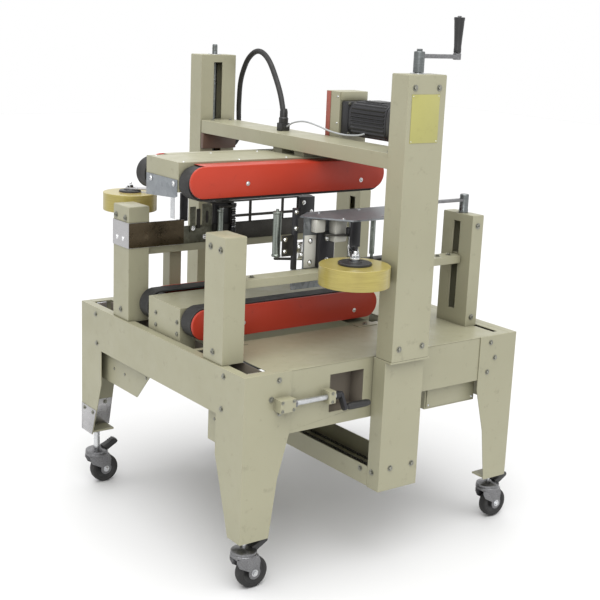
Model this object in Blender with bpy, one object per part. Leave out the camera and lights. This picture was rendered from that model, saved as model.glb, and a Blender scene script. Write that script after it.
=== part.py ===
"""Carton sealer: a floor-standing machine that drives a carton between upper and lower belts
past two side tape heads. Metres, +Z up, cartons travel along +X, the operator stands at -Y.
The frame is designed about its own middle and then shifted so that the whole machine's box
is centred on the origin, with the casters on z = 0."""

import math

import bmesh
import bpy
from mathutils import Matrix, Vector

# ---- driving dimensions -------------------------------------------------------------------
GAP = 0.0003            # clearance between pieces that touch
SHEET = 0.003           # folded sheet steel
WALL = 0.004            # tube wall

HALF_L = 0.545          # frame half length, along X
HALF_W = 0.514          # frame half width, along Y
TABLE_Z = 0.669         # top of the table
RAIL_Z = 0.522          # bottom of the end and side rails
PANEL_Z = 0.475         # bottom of the deep panel by the operator
FOOT_Z = 0.160          # underside of the legs
SHORT_FOOT_Z = 0.200    # the far infeed leg is shorter, on a longer caster stem

MAST_X = 0.0725         # half width of a mast
MAST_IN, MAST_OUT = 0.520, 0.594
MAST_TOP = 1.515
SCREW_Y = 0.550
SCREW_R = 0.010
COLUMN_OUT = 0.570
CHANNEL_Z = 0.248

BELT_R = 0.050          # outside of the belt on its pulley
BELT_T = 0.006
GUARD_R = 0.048
OUTFEED_X = 0.167
UPPER_X, LOWER_X = -0.478, -0.4625   # infeed pulleys' places
BELT_Y = (0.105, 0.160)
GUARD_Y = (0.163, 0.175)
HOUSING_Y = 0.098
UPPER_Z, LOWER_Z = 1.164, 0.733   # shaft heights
UPPER_GUARD_RISE = 0.007          # the upper guards sit higher, so that the belts' lower run stands proud

BEAM_X = (-0.070, 0.065)
BEAM_Z = (1.240, 1.286)

POST_TOP = 1.045
NEAR_BAR_Y, FAR_BAR_Y = -0.312, 0.250
BAR_HALF = 0.030
HEAD_PLATE = 0.006
BAR_Z = (0.880, 0.905)
HEAD_SCREW_X = 0.455

CRANK_Y, CRANK_Z = -0.532, 0.575   # the width shaft's axis

WHEEL_R = 0.050
STEM_X, STEM_Y, TRAIL = 0.505, 0.478, 0.028

CENTRE_SHIFT = Vector((-0.0190, 0.0255, 0.0))   # centres the whole machine's box

# ---- materials ----------------------------------------------------------------------------
COLOURS = {
    "cream_paint": ((0.62, 0.57, 0.42), 0.45, 0.0),
    "orange_paint": ((0.52, 0.07, 0.03), 0.38, 0.0),
    "black_rubber": ((0.02, 0.02, 0.02), 0.75, 0.0),
    "black_plastic": ((0.025, 0.025, 0.025), 0.45, 0.0),
    "bare_steel": ((0.42, 0.44, 0.46), 0.32, 1.0),
    "grey_plate": ((0.18, 0.20, 0.22), 0.40, 0.8),
    "stainless": ((0.55, 0.55, 0.56), 0.22, 1.0),
    "cast_aluminium": ((0.50, 0.51, 0.52), 0.45, 1.0),
    "yellow_tape": ((0.50, 0.42, 0.14), 0.35, 0.0),
    "grey_cable": ((0.35, 0.36, 0.37), 0.5, 0.0),
}


def material(name):
    """The Principled material of that name, made once."""
    found = bpy.data.materials.get(name)
    if found:
        return found
    colour, roughness, metallic = COLOURS[name]
    made = bpy.data.materials.new(name)
    made.use_nodes = True
    shader = made.node_tree.nodes["Principled BSDF"]
    shader.inputs["Base Color"].default_value = (*colour, 1.0)
    shader.inputs["Roughness"].default_value = roughness
    shader.inputs["Metallic"].default_value = metallic
    made.diffuse_color = (*colour, 1.0)
    return made


# ---- mesh helpers -------------------------------------------------------------------------
def box(low, high):
    """A block between two corners."""
    mesh = bmesh.new()
    size = [b - a for a, b in zip(low, high)]
    middle = [(a + b) / 2 for a, b in zip(low, high)]
    bmesh.ops.create_cube(
        mesh, size=1.0, matrix=Matrix.Translation(middle) @ Matrix.Diagonal((*size, 1.0)))
    return mesh


def prism(outline, axis, low, high):
    """A flat outline pushed along an axis; the outline's two numbers are the other two axes."""
    mesh = bmesh.new()
    others = [i for i in range(3) if i != axis]

    def corner(point, along):
        place = [0.0, 0.0, 0.0]
        place[others[0]], place[others[1]], place[axis] = point[0], point[1], along
        return mesh.verts.new(place)

    bottom = [corner(point, low) for point in outline]
    top = [corner(point, high) for point in outline]
    mesh.faces.new(bottom)
    mesh.faces.new(top)
    count = len(outline)
    for i in range(count):
        j = (i + 1) % count
        mesh.faces.new((bottom[i], bottom[j], top[j], top[i]))
    bmesh.ops.recalc_face_normals(mesh, faces=mesh.faces[:])
    return mesh


def turned(profile, centre, axis, steps=24):
    """A profile of (radius, height) pairs turned about an axis through centre.
    A radius of 0 at an end closes on the axis; otherwise the profile's ends join as a ring."""
    mesh = bmesh.new()
    closed = profile[0][0] > 0
    rings = []
    for radius, height in profile:
        if radius == 0:
            rings.append([mesh.verts.new((0, 0, height))])
            continue
        turn = [2 * math.pi * k / steps for k in range(steps)]
        rings.append([mesh.verts.new((radius * math.cos(a), radius * math.sin(a), height))
                      for a in turn])
    pairs = list(zip(rings, rings[1:]))
    if closed:
        pairs.append((rings[-1], rings[0]))
    for lower, upper in pairs:
        for k in range(steps):
            n = (k + 1) % steps
            if len(lower) == 1:
                mesh.faces.new((lower[0], upper[n], upper[k]))
            elif len(upper) == 1:
                mesh.faces.new((lower[k], lower[n], upper[0]))
            else:
                mesh.faces.new((lower[k], lower[n], upper[n], upper[k]))
    lay = {"x": Matrix.Rotation(math.pi / 2, 4, "Y"),
           "y": Matrix.Rotation(-math.pi / 2, 4, "X"),
           "z": Matrix.Identity(4)}[axis]
    bmesh.ops.transform(mesh, matrix=Matrix.Translation(centre) @ lay, verts=mesh.verts[:])
    bmesh.ops.recalc_face_normals(mesh, faces=mesh.faces[:])
    return mesh


def rod(radius, centre, axis, low, high, steps=20):
    """A round bar along an axis, from low to high on that axis."""
    place = list(centre)
    place["xyz".index(axis)] = 0.0
    return turned([(0, low), (radius, low), (radius, high), (0, high)], place, axis, steps)


def stadium(radius, x_low, x_high, z, steps=14):
    """The outline of a belt run: two half circles joined by straight sides, in X and Z."""
    points = []
    for k in range(steps + 1):
        angle = -math.pi / 2 + math.pi * k / steps
        points.append((x_high + radius * math.cos(angle), z + radius * math.sin(angle)))
    for k in range(steps + 1):
        angle = math.pi / 2 + math.pi * k / steps
        points.append((x_low + radius * math.cos(angle), z + radius * math.sin(angle)))
    return points


def place(name, mesh, colour, pivot=(0, 0, 0), smooth=False):
    """Turn a bmesh into a named object with its origin at pivot."""
    data = bpy.data.meshes.new(name)
    bmesh.ops.translate(mesh, vec=-Vector(pivot), verts=mesh.verts[:])
    mesh.to_mesh(data)
    mesh.free()
    made = bpy.data.objects.new(name, data)
    made.location = Vector(pivot)
    bpy.context.scene.collection.objects.link(made)
    if colour:
        data.materials.append(material(colour))
    if smooth:
        data.shade_smooth()
        data.set_sharp_from_angle(angle=math.radians(35))
    return made


def helper(owner, mesh, operation):
    """Join or cut the owner with a hidden solid, by a Boolean modifier."""
    name = "{}_{}_{}".format(owner.name, operation.lower(), len(owner.modifiers))
    tool = place(name, mesh, None)
    tool.hide_render = True
    tool.display_type = "WIRE"
    step = owner.modifiers.new(operation.title(), "BOOLEAN")
    step.operation = operation
    step.solver = "EXACT"
    step.object = tool
    return tool


def build(name, colour, solids, cuts=(), pivot=(0, 0, 0), smooth=False):
    """A piece made of solids that overlap, less its cuts."""
    made = place(name, solids[0], colour, pivot, smooth)
    for solid in solids[1:]:
        helper(made, solid, "UNION")
    for cut in cuts:
        helper(made, cut, "DIFFERENCE")
    return made


# ---- frame --------------------------------------------------------------------------------
def end_frame(name, side):
    """A folded end rail with its two legs and their corner gussets, one welded piece."""
    face, inner = side * HALF_L, side * (HALF_L - SHEET)
    flange = side * (HALF_L - 0.030)
    leg_in, leg_foot = 0.367, 0.447
    short = (SHORT_FOOT_Z - FOOT_Z) / (0.400 - FOOT_Z)

    def foot_of(y_side):
        return SHORT_FOOT_Z if side < 0 and y_side > 0 else FOOT_Z

    def half(y_side):
        foot = foot_of(y_side)
        inner = leg_foot if foot == FOOT_Z else leg_foot + (leg_in - leg_foot) * short
        return [(leg_in, RAIL_Z), (leg_in, 0.400), (inner, foot), (HALF_W, foot), (HALF_W, TABLE_Z)]

    outline = half(1) + [(-y, z) for y, z in reversed(half(-1))]

    def across(x_a, x_b):
        return min(x_a, x_b), max(x_a, x_b)

    web = prism(outline, 0, *across(face, inner))
    x_low, x_high = across(face, flange)
    solids = [web,
              box((x_low, -HALF_W, TABLE_Z - SHEET), (x_high, HALF_W, TABLE_Z)),
              box((x_low, -leg_in - 0.01, RAIL_Z), (x_high, leg_in + 0.01, RAIL_Z + SHEET))]
    for y_side in (-1, 1):
        edge = y_side * HALF_W
        low, high = across(edge, edge - y_side * SHEET)
        foot = foot_of(y_side)
        toe = 0.444 - 0.024 * (foot - FOOT_Z) / (0.340 - FOOT_Z)
        leg = [(face, TABLE_Z), (side * 0.380, TABLE_Z), (side * 0.380, 0.487),
               (side * 0.420, 0.340), (side * toe, foot), (face, foot)]
        solids.append(prism(leg, 1, low, high))
        y_low, y_high = across(y_side * 0.450, y_side * (HALF_W - 0.001))
        f_low, f_high = across(side * (HALF_L - 0.001), side * 0.452)
        solids.append(box((f_low, y_low, foot), (f_high, y_high, foot + 0.006)))
        gusset = [(y_side * 0.5125, RAIL_Z + 0.001), (y_side * 0.5125, 0.413)]
        if side < 0 and y_side > 0:
            gusset += [(0.160, 0.413), (0.060, RAIL_Z + 0.001)]
        else:
            gusset += [(y_side * 0.284, 0.413), (y_side * 0.284, RAIL_Z + 0.001)]
        g_low, g_high = across(flange, side * (HALF_L - 0.030 + SHEET))
        solids.append(prism(gusset, 0, g_low, g_high))
    cuts = []
    if side < 0:
        solids.append(box((-0.440, -0.547, 0.556), (-0.386, -HALF_W + 0.001, 0.594)))
        cuts.append(rod(0.0085, (0, CRANK_Y, CRANK_Z), "x", -0.430, -0.37, 16))
    return build(name, "cream_paint", solids, cuts)


def side_rail(name, y_side):
    """A folded side rail between the end frames; the operator's side has the deep panel."""
    end = HALF_L - 0.0335
    top = TABLE_Z - SHEET - GAP
    outer = y_side * (HALF_W - SHEET - GAP)
    inner = outer - y_side * SHEET
    lip = outer - y_side * 0.030
    low, high = min(outer, inner), max(outer, inner)
    outline = [(-end, top), (end, top), (end, RAIL_Z)]
    if y_side < 0:
        outline += [(-0.062, RAIL_Z), (-0.062, PANEL_Z), (-0.450, PANEL_Z), (-0.450, RAIL_Z)]
    outline.append((-end, RAIL_Z))
    solids = [prism(outline, 1, low, high),
              box((-0.510, min(outer, lip), top - SHEET), (0.510, max(outer, lip), top)),
              box((-0.055, min(outer, lip), RAIL_Z), (0.510, max(outer, lip), RAIL_Z + SHEET))]
    cuts = []
    if y_side < 0:
        solids.append(box((-0.264, -0.547, 0.556), (-0.240, high, 0.594)))
        cuts.append(rod(0.0085, (0, CRANK_Y, CRANK_Z), "x", -0.28, -0.22, 16))
        cuts.append(box((-0.236, low - 0.05, 0.5165), (-0.108, high + 0.01, 0.6335)))
    return build(name, "cream_paint", solids, cuts)


def table_plate():
    """The flat top, notched round the lower drive and slotted for the posts' feet."""
    end, side = HALF_L - 0.030 - GAP, HALF_W - SHEET - GAP
    cuts = [box((-0.6, -0.187, 0.6), (0.262, 0.187, 0.7))]
    for y_side in (-1, 1):
        y_low, y_high = sorted((y_side * 0.205, y_side * 0.480))
        cuts.append(box((-0.530, y_low, 0.6), (-0.448, y_high, 0.7)))
        cuts.append(box((0.470, y_low, 0.6), (0.489, y_high, 0.7)))
    return build("table_plate", "cream_paint",
                 [box((-end, -side, TABLE_Z - SHEET), (end, side, TABLE_Z))], cuts)


def column(name, y_side):
    """The folded column under a mast, open towards the frame, with the mast's seat on top."""
    inner, outer = y_side * (HALF_W + 0.0005), y_side * COLUMN_OUT
    low, high = min(inner, outer), max(inner, outer)
    shell = box((-0.075, low, 0.245), (0.080, high, 0.664))
    seat_low, seat_high = sorted((inner, y_side * MAST_OUT))
    seat = box((-0.075, seat_low, 0.662), (0.080, seat_high, 0.668))
    hollow_low, hollow_high = sorted((inner - y_side * 0.01, outer - y_side * WALL))
    cuts = [box((-0.071, hollow_low, 0.20), (0.076, hollow_high, 0.660)),
            rod(0.0115, (0, y_side * SCREW_Y, 0), "z", 0.60, 0.70, 16)]
    return build(name, "cream_paint", [shell, seat], cuts)


def chain_channel():
    """The folded channel between the two columns, which the lift chain runs in."""
    end = HALF_W - 0.0005
    outline = [(-0.075, 0.312), (-0.075, CHANNEL_Z), (0.080, CHANNEL_Z), (0.080, 0.312),
               (0.077, 0.312), (0.077, CHANNEL_Z + SHEET), (-0.072, CHANNEL_Z + SHEET),
               (-0.072, 0.312)]
    return build("chain_channel", "cream_paint", [prism(outline, 1, -end, end)])


def mast(name, y_side):
    """A rectangular tube, capped on top, slotted down its inner face for the gantry."""
    low, high = sorted((y_side * MAST_IN, y_side * MAST_OUT))
    slot_low, slot_high = sorted((y_side * (MAST_IN - 0.01), y_side * (MAST_IN + 0.01)))
    cuts = [box((-MAST_X + WALL, low + WALL, 0.60), (MAST_X - WALL, high - WALL, MAST_TOP - WALL)),
            rod(0.0115, (0, y_side * SCREW_Y, 0), "z", MAST_TOP - 0.02, MAST_TOP + 0.02, 16),
            box((-0.020, slot_low, 1.020), (0.015, slot_high, 1.490))]
    return build(name, "cream_paint", [box((-MAST_X, low, 0.668 + GAP), (MAST_X, high, MAST_TOP))], cuts)


# ---- lift ---------------------------------------------------------------------------------
def lift_screw(name, y_side, top):
    """A lead screw with its chain sprocket near the foot."""
    profile = [(0, 0.262), (SCREW_R, 0.262), (SCREW_R, 0.279), (0.0155, 0.281), (0.0155, 0.287),
               (SCREW_R, 0.289), (SCREW_R, top), (0, top)]
    centre = (0, y_side * SCREW_Y, 0)
    return place(name, turned(profile, centre, "z", 16), "bare_steel", centre, True)


def lift_crank():
    """Hub, arm and grip pin on top of the operator's screw."""
    centre = (0, -SCREW_Y, 0)
    hub = rod(0.016, centre, "z", MAST_TOP + 0.005 + GAP, 1.580, 20)
    arm = box((0.0, -SCREW_Y - 0.009, 1.563), (0.150, -SCREW_Y + 0.009, 1.572))
    boss = rod(0.012, (0.148, -SCREW_Y, 0), "z", 1.558, 1.577, 16)
    pin = rod(0.004, (0.148, -SCREW_Y, 0), "z", 1.570, 1.684, 12)
    return build("lift_crank", "bare_steel", [hub, arm, boss, pin], (), centre)


def lift_crank_grip():
    """The tapered grip that turns on the crank's pin."""
    centre = (0.148, -SCREW_Y, 0)
    bore = 0.0045
    profile = [(bore, 1.5775), (0.010, 1.5775), (0.0125, 1.600), (0.015, 1.655), (0.014, 1.672),
               (0.010, 1.680), (bore, 1.680)]
    return place("lift_crank_grip", turned(profile, centre, "z", 20), "black_plastic", centre, True)


# ---- belt units ---------------------------------------------------------------------------
def belt(name, y_side, x_low, z):
    """One endless flat belt round its two pulleys."""
    low, high = sorted((y_side * BELT_Y[0], y_side * BELT_Y[1]))
    outer = prism(stadium(BELT_R, x_low, OUTFEED_X, z, 20), 1, low, high)
    inner = prism(stadium(BELT_R - BELT_T, x_low, OUTFEED_X, z, 20), 1, low - 0.01, high + 0.01)
    return build(name, "black_rubber", [outer], [inner])


def guard(name, y_side, x_low, z, flanged):
    """A round-ended cover over the belt's outer side, with two stand-offs to the housing.
    The upper ones also have a flange over the belt."""
    low, high = sorted((y_side * GUARD_Y[0], y_side * GUARD_Y[1]))
    inner_low, inner_high = sorted((y_side * (GUARD_Y[0] - 0.01), y_side * (GUARD_Y[1] - 0.002)))
    x_low -= 0.002
    shell = prism(stadium(GUARD_R, x_low, OUTFEED_X, z, 18), 1, low, high)
    hollow = prism(stadium(GUARD_R - 0.002, x_low, OUTFEED_X, z, 18), 1, inner_low, inner_high)
    made = place(name, shell, "orange_paint")
    helper(made, hollow, "DIFFERENCE")
    if flanged:
        from_y, to_y = sorted((y_side * (HOUSING_Y + GAP), y_side * (GUARD_Y[1] - 0.001)))
        helper(made, box((x_low - 0.015, from_y, z + GUARD_R - 0.002), (OUTFEED_X + 0.010, to_y, z + GUARD_R)), "UNION")
    for x in (-0.330, 0.030):
        from_y, to_y = sorted((y_side * (HOUSING_Y + GAP), y_side * (GUARD_Y[1] - 0.001)))
        helper(made, rod(0.009, (x, 0, z), "y", from_y, to_y, 12), "UNION")
    return made


def belt_roller(name, x, z):
    """A shaft with a crowned pulley at each end, under the belts."""
    pulley_r, shaft_r = BELT_R - BELT_T - 0.0006, 0.012
    low, high = BELT_Y[0] + 0.001, BELT_Y[1] - 0.001
    profile = [(0, -high), (pulley_r, -high), (pulley_r, -low), (shaft_r, -low),
               (shaft_r, low), (pulley_r, low), (pulley_r, high), (0, high)]
    return place(name, turned(profile, (x, 0, z), "y", 28), "bare_steel", (x, 0, z), True)


def shaft_holes(x_low, z):
    """Clearance holes for the two shafts through a housing's sides."""
    return [rod(0.013, (x, 0, z), "y", -0.2, 0.2, 16) for x in (x_low, OUTFEED_X)]


def upper_drive_housing():
    """The folded cover that carries the upper belts, hung under the beam on two spacers."""
    side, top = HOUSING_Y, 1.224
    solids = [box((-0.525, -side, 1.135), (0.250, side, top))]
    for y in (-0.060, 0.060):
        solids.append(box((-0.055, y - 0.025, top - 0.002), (0.050, y + 0.025, BEAM_Z[0] - GAP)))
    cuts = [box((-0.522, -side + SHEET, 1.10), (0.247, side - SHEET, top - SHEET))]
    return build("upper_drive_housing", "cream_paint", solids, cuts + shaft_holes(UPPER_X, UPPER_Z))


def lower_drive_housing():
    """The folded box between the lower belts, on two straps across the table's notch."""
    side = HOUSING_Y
    solids = [box((-0.512, -side, 0.620), (0.250, side, 0.774))]
    for x in (-0.380, 0.140):
        solids.append(box((x - 0.040, -0.225, TABLE_Z + GAP), (x + 0.040, 0.225, TABLE_Z + 0.0024)))
    cuts = [box((-0.509, -side + SHEET, 0.60), (0.247, side - SHEET, 0.771))]
    return build("lower_drive_housing", "cream_paint", solids, cuts + shaft_holes(LOWER_X, LOWER_Z))


def gantry_beam():
    """The cross beam, open below, with a neck and a nut at each end on the lead screws."""
    low, high = BEAM_Z
    half = MAST_IN - 0.0008
    solids = [box((BEAM_X[0], -half, low), (BEAM_X[1], half, high))]
    cuts = [box((BEAM_X[0] + SHEET, -half + SHEET, low - 0.01), (BEAM_X[1] - SHEET, half - SHEET, high - SHEET))]
    made = place("gantry_beam", solids[0], "cream_paint")
    helper(made, cuts[0], "DIFFERENCE")
    for y_side in (-1, 1):
        neck = sorted((y_side * (half - 0.002), y_side * (SCREW_Y - 0.023)))
        helper(made, box((-0.017, neck[0], low), (0.012, neck[1], high)), "UNION")
        nut = sorted((y_side * (SCREW_Y - 0.025), y_side * (SCREW_Y + 0.025)))
        helper(made, box((-0.045, nut[0], low), (0.045, nut[1], high)), "UNION")
        helper(made, rod(0.0108, (0, y_side * SCREW_Y, 0), "z", low - 0.02, high + 0.02, 16), "DIFFERENCE")
    boss = box((-0.012, 0.0970, high - 0.001), (0.016, 0.1250, 1.312))
    helper(made, boss, "UNION")
    return made


def infeed_guide_plate():
    """The plate on the upper housing's infeed end that leads a carton under the belts, with its tongue."""
    back = -0.525 - GAP
    outline = [(-0.094, 1.1215), (-0.078, 1.1165), (0.094, 1.1040), (0.094, 1.172), (-0.094, 1.172)]
    solids = [prism(outline, 0, back - SHEET, back),
              box((back - 0.0029, -0.080, 1.052), (back - 0.0001, -0.056, 1.160))]
    return build("infeed_guide_plate", "grey_plate", solids)


def upper_drive_cover():
    """The upright cover over the chain from the motor down to the drive shaft."""
    low, high = (0.070, -0.1035, 1.224 + GAP), (0.184, -0.033, 1.432)
    hollow = box((low[0] + SHEET, low[1] + SHEET, 1.20), (high[0] - SHEET, high[1] - SHEET, high[2] - SHEET))
    return build("upper_drive_cover", "cream_paint", [box(low, high)], [hollow])


def upper_motor():
    """The belt motor with its square flange, on its side against the chain cover."""
    centre = (0.131, 0, 1.350)
    body = turned([(0, -0.372), (0.058, -0.372), (0.061, -0.366), (0.061, -0.205), (0.050, -0.200),
                   (0.050, -0.135), (0, -0.135)], centre, "y", 28)
    flange = box((0.076, -0.140, 1.295), (0.186, -0.1035 - GAP, 1.403))
    return build("upper_motor", "black_plastic", [body, flange])


def lower_motor():
    """The lower belts' gear motor, hung below the lower housing."""
    body = box((-0.180, -0.080, 0.500), (0.060, 0.080, 0.620 - GAP))
    return build("lower_motor", "black_plastic", [body])


def electrical_box():
    """The switch box behind the operator's rail, open at the back where its wires enter."""
    outer = box((0.180, -0.480, 0.445), (0.400, -0.375, 0.655))
    hollow = box((0.183, -0.477, 0.448), (0.397, -0.365, 0.652))
    return build("electrical_box", "cream_paint", [outer], [hollow])


# ---- posts and tape heads -----------------------------------------------------------------
def post(name, x_range, y_range, bar_y, slot_side, crank_hole=False):
    """A tube that stands on the table, slotted for the head bar, with a foot in the table's slot."""
    low, high = (x_range[0], y_range[0], TABLE_Z + GAP), (x_range[1], y_range[1], POST_TOP)
    foot_x = (-0.499, -0.476) if x_range[0] < 0 else (0.4725, 0.4795)
    foot = box((foot_x[0], bar_y - 0.025, TABLE_Z - 0.024), (foot_x[1], bar_y + 0.025, 0.684))
    face = x_range[1] if slot_side > 0 else x_range[0]
    cuts = [box((low[0] + WALL, low[1] + WALL, 0.683), (high[0] - WALL, high[1] - WALL, POST_TOP - WALL)),
            box((face - 0.006, bar_y - 0.0155, 0.720), (face + 0.006, bar_y + 0.0155, 1.020))]
    if crank_hole:
        cuts.append(rod(0.0088, (HEAD_SCREW_X, bar_y, 0), "z", 1.03, 1.06, 14))
    return build(name, "cream_paint", [box(low, high), foot], cuts)


def head_bar(name, bar_y, driven):
    """The flat bar between two posts that carries a tape head, with a lug in each slot."""
    low, high = BAR_Z
    solids = [box((-0.4625, bar_y - BAR_HALF, low), (0.4295, bar_y + BAR_HALF, high)),
              box((-0.478, bar_y - 0.0145, low), (-0.460, bar_y + 0.0145, high)),
              box((0.425, bar_y - 0.0145, low), (0.440, bar_y + 0.0145, high))]
    cuts = []
    if driven:
        solids.append(box((0.438, bar_y - 0.030, low - 0.004), (0.473, bar_y + 0.030, high + 0.004)))
        cuts.append(rod(0.0088, (HEAD_SCREW_X, bar_y, 0), "z", low - 0.02, high + 0.02, 14))
    return build(name, "cream_paint", solids, cuts)


def head_crank():
    """The near head's height screw with its hub, arm and knob, one turning piece."""
    centre = (HEAD_SCREW_X, NEAR_BAR_Y, 0)
    screw = turned([(0, 0.690), (0.008, 0.690), (0.008, 1.047), (0.0125, 1.049), (0.0125, 1.108), (0, 1.108)],
                   centre, "z", 16)
    arm = box((HEAD_SCREW_X - 0.140, NEAR_BAR_Y - 0.007, 1.086), (HEAD_SCREW_X, NEAR_BAR_Y + 0.007, 1.093))
    knob = turned([(0, 1.088), (0.006, 1.088), (0.010, 1.100), (0.011, 1.140), (0.007, 1.150), (0, 1.150)],
                  (HEAD_SCREW_X - 0.135, NEAR_BAR_Y, 0), "z", 16)
    return build("head_crank", "bare_steel", [screw, arm, knob], (), centre)


def tape_head(name, y_side, plate_y, roll, back_outline, top_outline, top_z, drop, arm_from, arm_z, extras):
    """Cut-out back plate, top plate and roll bracket of one side tape head, welded together.
    plate_y is the back plate's face towards the head bar; drop is the block that carries the
    roll's arm, and extras are the head's guide rods and standards."""
    low, high = sorted((plate_y, plate_y - y_side * HEAD_PLATE))
    back = prism(back_outline, 1, low, high)
    top = prism(top_outline, 2, top_z, top_z + 0.005)
    tilt = math.atan2(roll[1] - arm_from[1], roll[0] - arm_from[0])
    length = math.hypot(roll[1] - arm_from[1], roll[0] - arm_from[0])
    arm = box((0, -0.014, arm_z), (length, 0.014, arm_z + 0.006))
    bmesh.ops.transform(arm, matrix=Matrix.Translation((*arm_from, 0)) @ Matrix.Rotation(tilt, 4, "Z"),
                        verts=arm.verts[:])
    spindle = rod(0.011, (roll[0], roll[1], 0), "z", roll[3] - 0.006, arm_z + 0.012, 16)
    return build(name, "grey_plate", [back, top, box(*drop), arm, spindle] + extras)


def tape_head_near(roll):
    """The operator's side head: a low foot, one upright, a top plate and a roller standard."""
    face = NEAR_BAR_Y + BAR_HALF + GAP
    back = [(-0.225, 0.842), (0.105, 0.842), (0.105, 0.905), (-0.078, 0.905), (-0.078, 1.067),
            (-0.185, 1.067), (-0.185, 0.905), (-0.225, 0.905)]
    top = [(-0.190, -0.262), (-0.125, -0.2130), (0.240, -0.2130), (0.240, -0.395), (-0.085, -0.395)]
    drop = ((-0.0865, -0.392, 0.985), (-0.0545, -0.384, 1.066))
    standard = box((-0.2235, face, 0.850), (-0.2105, face + 0.0117, 1.095))
    return tape_head("tape_head_near", -1, face, roll, back, top, 1.063, drop, (-0.078, -0.388), 0.985,
                     [standard])


def tape_head_far(roll):
    """The far side head: a low foot with two uprights, joined by a bar, two rods and a top plate."""
    face = FAR_BAR_Y - BAR_HALF - GAP
    middle = face - HEAD_PLATE / 2
    back = [(-0.205, 0.842), (-0.080, 0.842), (-0.080, 0.906), (0.215, 0.906), (0.215, 1.040), (0.150, 1.040),
            (0.150, 0.966), (-0.120, 0.966), (-0.120, 1.040), (-0.205, 1.040)]
    top = [(-0.215, 0.2140), (0.215, 0.2140), (0.215, 0.300), (-0.215, 0.300)]
    drop = ((-0.164, face - 0.001, 1.038), (-0.136, 0.227, 1.076))
    rods = [rod(0.005, (x, middle, 0), "z", 0.960, 1.0385, 12) for x in (-0.050, 0.087)]
    rail = box((-0.125, face - HEAD_PLATE + 0.0005, 0.983), (0.155, face - 0.0005, 0.992))
    return tape_head("tape_head_far", 1, face, roll, back, top, 1.036, drop, (-0.150, 0.225), 1.070,
                     rods + [rail])


def tape_roll(name, roll):
    """A roll of tape on its core, free to turn on the head's spindle."""
    x, y, radius, low = roll
    high = low + 0.060
    bore = 0.0115
    profile = [(bore, low - 0.004), (0.034, low - 0.004), (0.034, low), (radius, low), (radius, high),
               (0.034, high), (0.034, high + 0.003), (bore, high + 0.003)]
    return place(name, turned(profile, (x, y, 0), "z", 36), "yellow_tape", (x, y, 0), True)


def roller_arm(name, pivot, roller, radius, link_z, top):
    """A sprung arm with its pivot barrel and upright tape roller, which stands on the arm
    when the arm is low and hangs under it when the arm is high."""
    link_low, link_high = link_z, link_z + 0.006
    barrel = rod(0.0105, (*pivot, 0), "z", min(0.935, link_low - 0.001), 1.0350, 16)
    reach = Vector(roller) - Vector(pivot)
    link = box((0, -0.009, link_low), (reach.length, 0.009, link_high))
    turn = Matrix.Rotation(math.atan2(reach.y, reach.x), 4, "Z")
    bmesh.ops.transform(link, matrix=Matrix.Translation((*pivot, 0)) @ turn, verts=link.verts[:])
    bottom = min(0.926, link_low - 0.002)
    wheel = turned([(0, bottom), (0.005, bottom), (0.005, 0.936), (radius, 0.937), (radius, top - 0.001),
                    (0.005, top), (0.005, top + 0.008), (0, top + 0.008)], (*roller, 0), "z", 20)
    return build(name, "bare_steel", [barrel, link, wheel], (), (*pivot, 0))


def far_side_guide():
    """The bright guide plate wrapped round the far infeed post and run along the carton's side."""
    outline = [(-0.5405, 0.293), (-0.5405, 0.1845), (-0.3350, 0.1845), (-0.3350, 0.1870),
               (-0.5375, 0.1870), (-0.5375, 0.293)]
    return build("far_side_guide", "stainless", [prism(outline, 2, 0.912, 0.995)])


def far_head_pillar():
    """The square tube behind the far head bar that steadies it."""
    low, high = (-0.330, FAR_BAR_Y + BAR_HALF + 0.002, TABLE_Z + GAP), (-0.285, 0.327, 0.935)
    hollow = box((low[0] + WALL, low[1] + WALL, 0.6), (high[0] - WALL, high[1] - WALL, high[2] - WALL))
    return build("far_head_pillar", "cream_paint", [box(low, high)], [hollow])


def width_crank():
    """The width shaft along the operator's panel, with its arm and black handle."""
    axis_y, axis_z = CRANK_Y, CRANK_Z
    shaft = rod(0.008, (0, axis_y, axis_z), "x", -0.424, -0.205, 16)
    arm = box((-0.216, axis_y - 0.031, axis_z - 0.045), (-0.206, axis_y + 0.010, axis_z + 0.010))
    handle = turned([(0, -0.209), (0.009, -0.209), (0.011, -0.190), (0.011, -0.125), (0.008, -0.114), (0, -0.114)],
                    (0, axis_y - 0.020, axis_z - 0.034), "x", 16)
    return build("width_crank", "bare_steel", [shaft, arm, handle], (), (-0.424, axis_y, axis_z))


# ---- casters ------------------------------------------------------------------------------
def caster_fork(name, x, y, foot):
    """Stem, swivel head, two cheeks and the axle of one caster."""
    axle_x = x + TRAIL
    solids = [turned([(0, 0.104), (0.023, 0.104), (0.023, 0.118), (0.012, 0.124), (0.006, 0.126),
                      (0.006, foot - GAP), (0, foot - GAP)], (x, y, 0), "z", 20)]
    cheek = [(x - 0.019, 0.110), (x + 0.021, 0.110), (axle_x + 0.014, 0.060), (axle_x + 0.010, 0.040),
             (axle_x - 0.010, 0.040), (axle_x - 0.014, 0.056)]
    for y_side in (-1, 1):
        low, high = sorted((y + y_side * 0.0180, y + y_side * 0.0210))
        solids.append(prism(cheek, 1, low, high))
    solids.append(box((x - 0.019, y - 0.0209, 0.104), (x + 0.021, y + 0.0209, 0.110)))
    solids.append(rod(0.005, (axle_x, 0, WHEEL_R), "y", y - 0.024, y + 0.024, 12))
    return build(name, "bare_steel", solids, (), (x, y, 0))


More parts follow.
